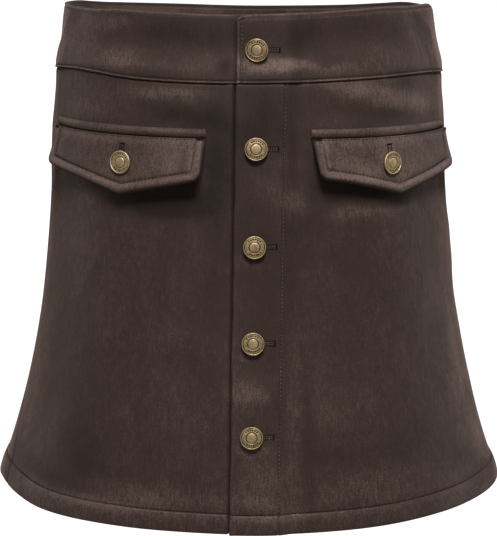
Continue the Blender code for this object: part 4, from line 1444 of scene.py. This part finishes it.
def makeButton(name, angle, height, face, innerFace, turn, droop=0, outwards=0):
    angle, height = np.array(angle), np.array(height)
    normal = Vector(outlineNormal(angle, height))
    onCloth = Vector(outlinePoint(angle, height)) + normal * float(foldRise(angle, height))
    front = onCloth + normal * float(face + sewing["gap"])
    back = onCloth + normal * float(innerFace - 2 * sewing["gap"])
    aim = Matrix.Rotation(math.radians(outwards), 4, "Z") @ facingAlong(normal)
    aim = aim @ Matrix.Rotation(math.radians(droop), 4, "X")
    aim = aim @ Matrix.Rotation(math.radians(turn), 4, "Z")
    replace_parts(turned("brass_button_" + name, button["face"], button["steps"],
                       Matrix.Translation(front * mm) @ aim, button["dashRing"],
                       "flapBrass" if name.startswith("flap") else "brass"),
                "button_" + name)
    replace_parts(turned("brass_tack_" + name, button["back"], button["backSteps"],
                       Matrix.Translation(back * mm) @ facingAlong(-normal)), "tack_" + name)


for number, height in enumerate(buttonHeights, start=1):
    onBand = number == 1
    innerFace = band["proud"] - band["wall"] if onBand else -panel["wall"]
    makeButton("front_%d" % number, frontAngle(0.0, height), height, frontLevel(number), innerFace,
               9 * math.sin(number * 5.1), 8 if onBand else 0, -12 if onBand else 0)

for flap in flaps:
    along = flap["buttonArc"] - flap["inner"]
    down = flapSeam(flap, along) - flap["buttonHeight"]
    lift = flapLift(flap, along, down / flapLength(flap, along))
    angle = angleAtArc(flap["side"] * flap["buttonArc"], flap["buttonHeight"])
    makeButton("flap_" + flap["name"], angle, flap["buttonHeight"],
               sewing["gap"] + flapForm["wall"] + lift, -panel["wall"], 6 * flap["side"],
               outwards=flap["buttonTurn"])
print("buttons fixed")

# floor, lamps and camera
studio = {
    "floor": -2.5, "cameraAway": 1.5951, "cameraTurn": -1.229, "cameraHeight": 0.1576,
    "cameraDown": 12.4262, "lens": 131.5, "ambient": 0.06,
    "lamps": [      # name, place, size, watts, what it points at, spread
        ("key", (0.1, -1.9, 2.6), (1.3, 1.0), 11.5, (0, -0.1, -0.15), 50),
        ("fill", (-0.5, -2.4, 0.5), (2.0, 1.6), 3.5, (0, 0, -0.15), 180),
        ("right side", (1.7, 0.3, 0.4), (0.6, 1.4), 2.4, (0, 0, -0.15), 180),
        ("left side", (-1.7, 0.3, 0.4), (0.6, 1.4), 1.2, (0, 0, -0.15), 180),
        ("backdrop", (0, 22, 1.5), (16, 42), 3100, (0, 22, -1), 180),
    ],
}


def makeFloor():
    bm = bmesh.new()
    bmesh.ops.create_grid(bm, x_segments=1, y_segments=1, size=60)
    bmesh.ops.translate(bm, verts=bm.verts, vec=(0, 0, studio["floor"]))
    mesh = bpy.data.meshes.new("floor")
    bm.to_mesh(mesh)
    bm.free()
    shade = Recipe("pale floor", Roughness=0.8, Base_Color=(0.93, 0.93, 0.93, 1))
    mesh.materials.append(shade.material)
    floor = bpy.data.objects.new("floor", mesh)
    bpy.context.scene.collection.objects.link(floor)


def softbox(name, place, size, watts, aim, spread):
    data = bpy.data.lights.new(name, "AREA")
    data.shape, data.size, data.size_y, data.energy = "RECTANGLE", *size, watts
    data.spread = math.radians(spread)
    lamp = bpy.data.objects.new(name, data)
    lamp.location = place
    lamp.rotation_euler = (Vector(aim) - Vector(place)).to_track_quat("-Z", "Y").to_euler()
    bpy.context.scene.collection.objects.link(lamp)


makeFloor()
for lamp in studio["lamps"]:
    softbox(*lamp)

world = bpy.data.worlds.new("studio")
world.use_nodes = True
world.node_tree.nodes["Background"].inputs["Color"].default_value = (1, 1, 1, 1)
world.node_tree.nodes["Background"].inputs["Strength"].default_value = studio["ambient"]
bpy.context.scene.world = world
bpy.context.scene.view_settings.view_transform = "Standard"

camera = bpy.data.objects.new("camera", bpy.data.cameras.new("camera"))
turn, down = math.radians(studio["cameraTurn"]), math.radians(studio["cameraDown"])
camera.location = (math.sin(turn) * studio["cameraAway"], -math.cos(turn) * studio["cameraAway"],
                   studio["cameraHeight"])
camera.rotation_euler = (math.pi / 2 - down, 0, turn)
camera.data.sensor_width = 36
camera.data.lens = studio["lens"]
bpy.context.scene.collection.objects.link(camera)
bpy.context.scene.camera = camera
print("studio set")
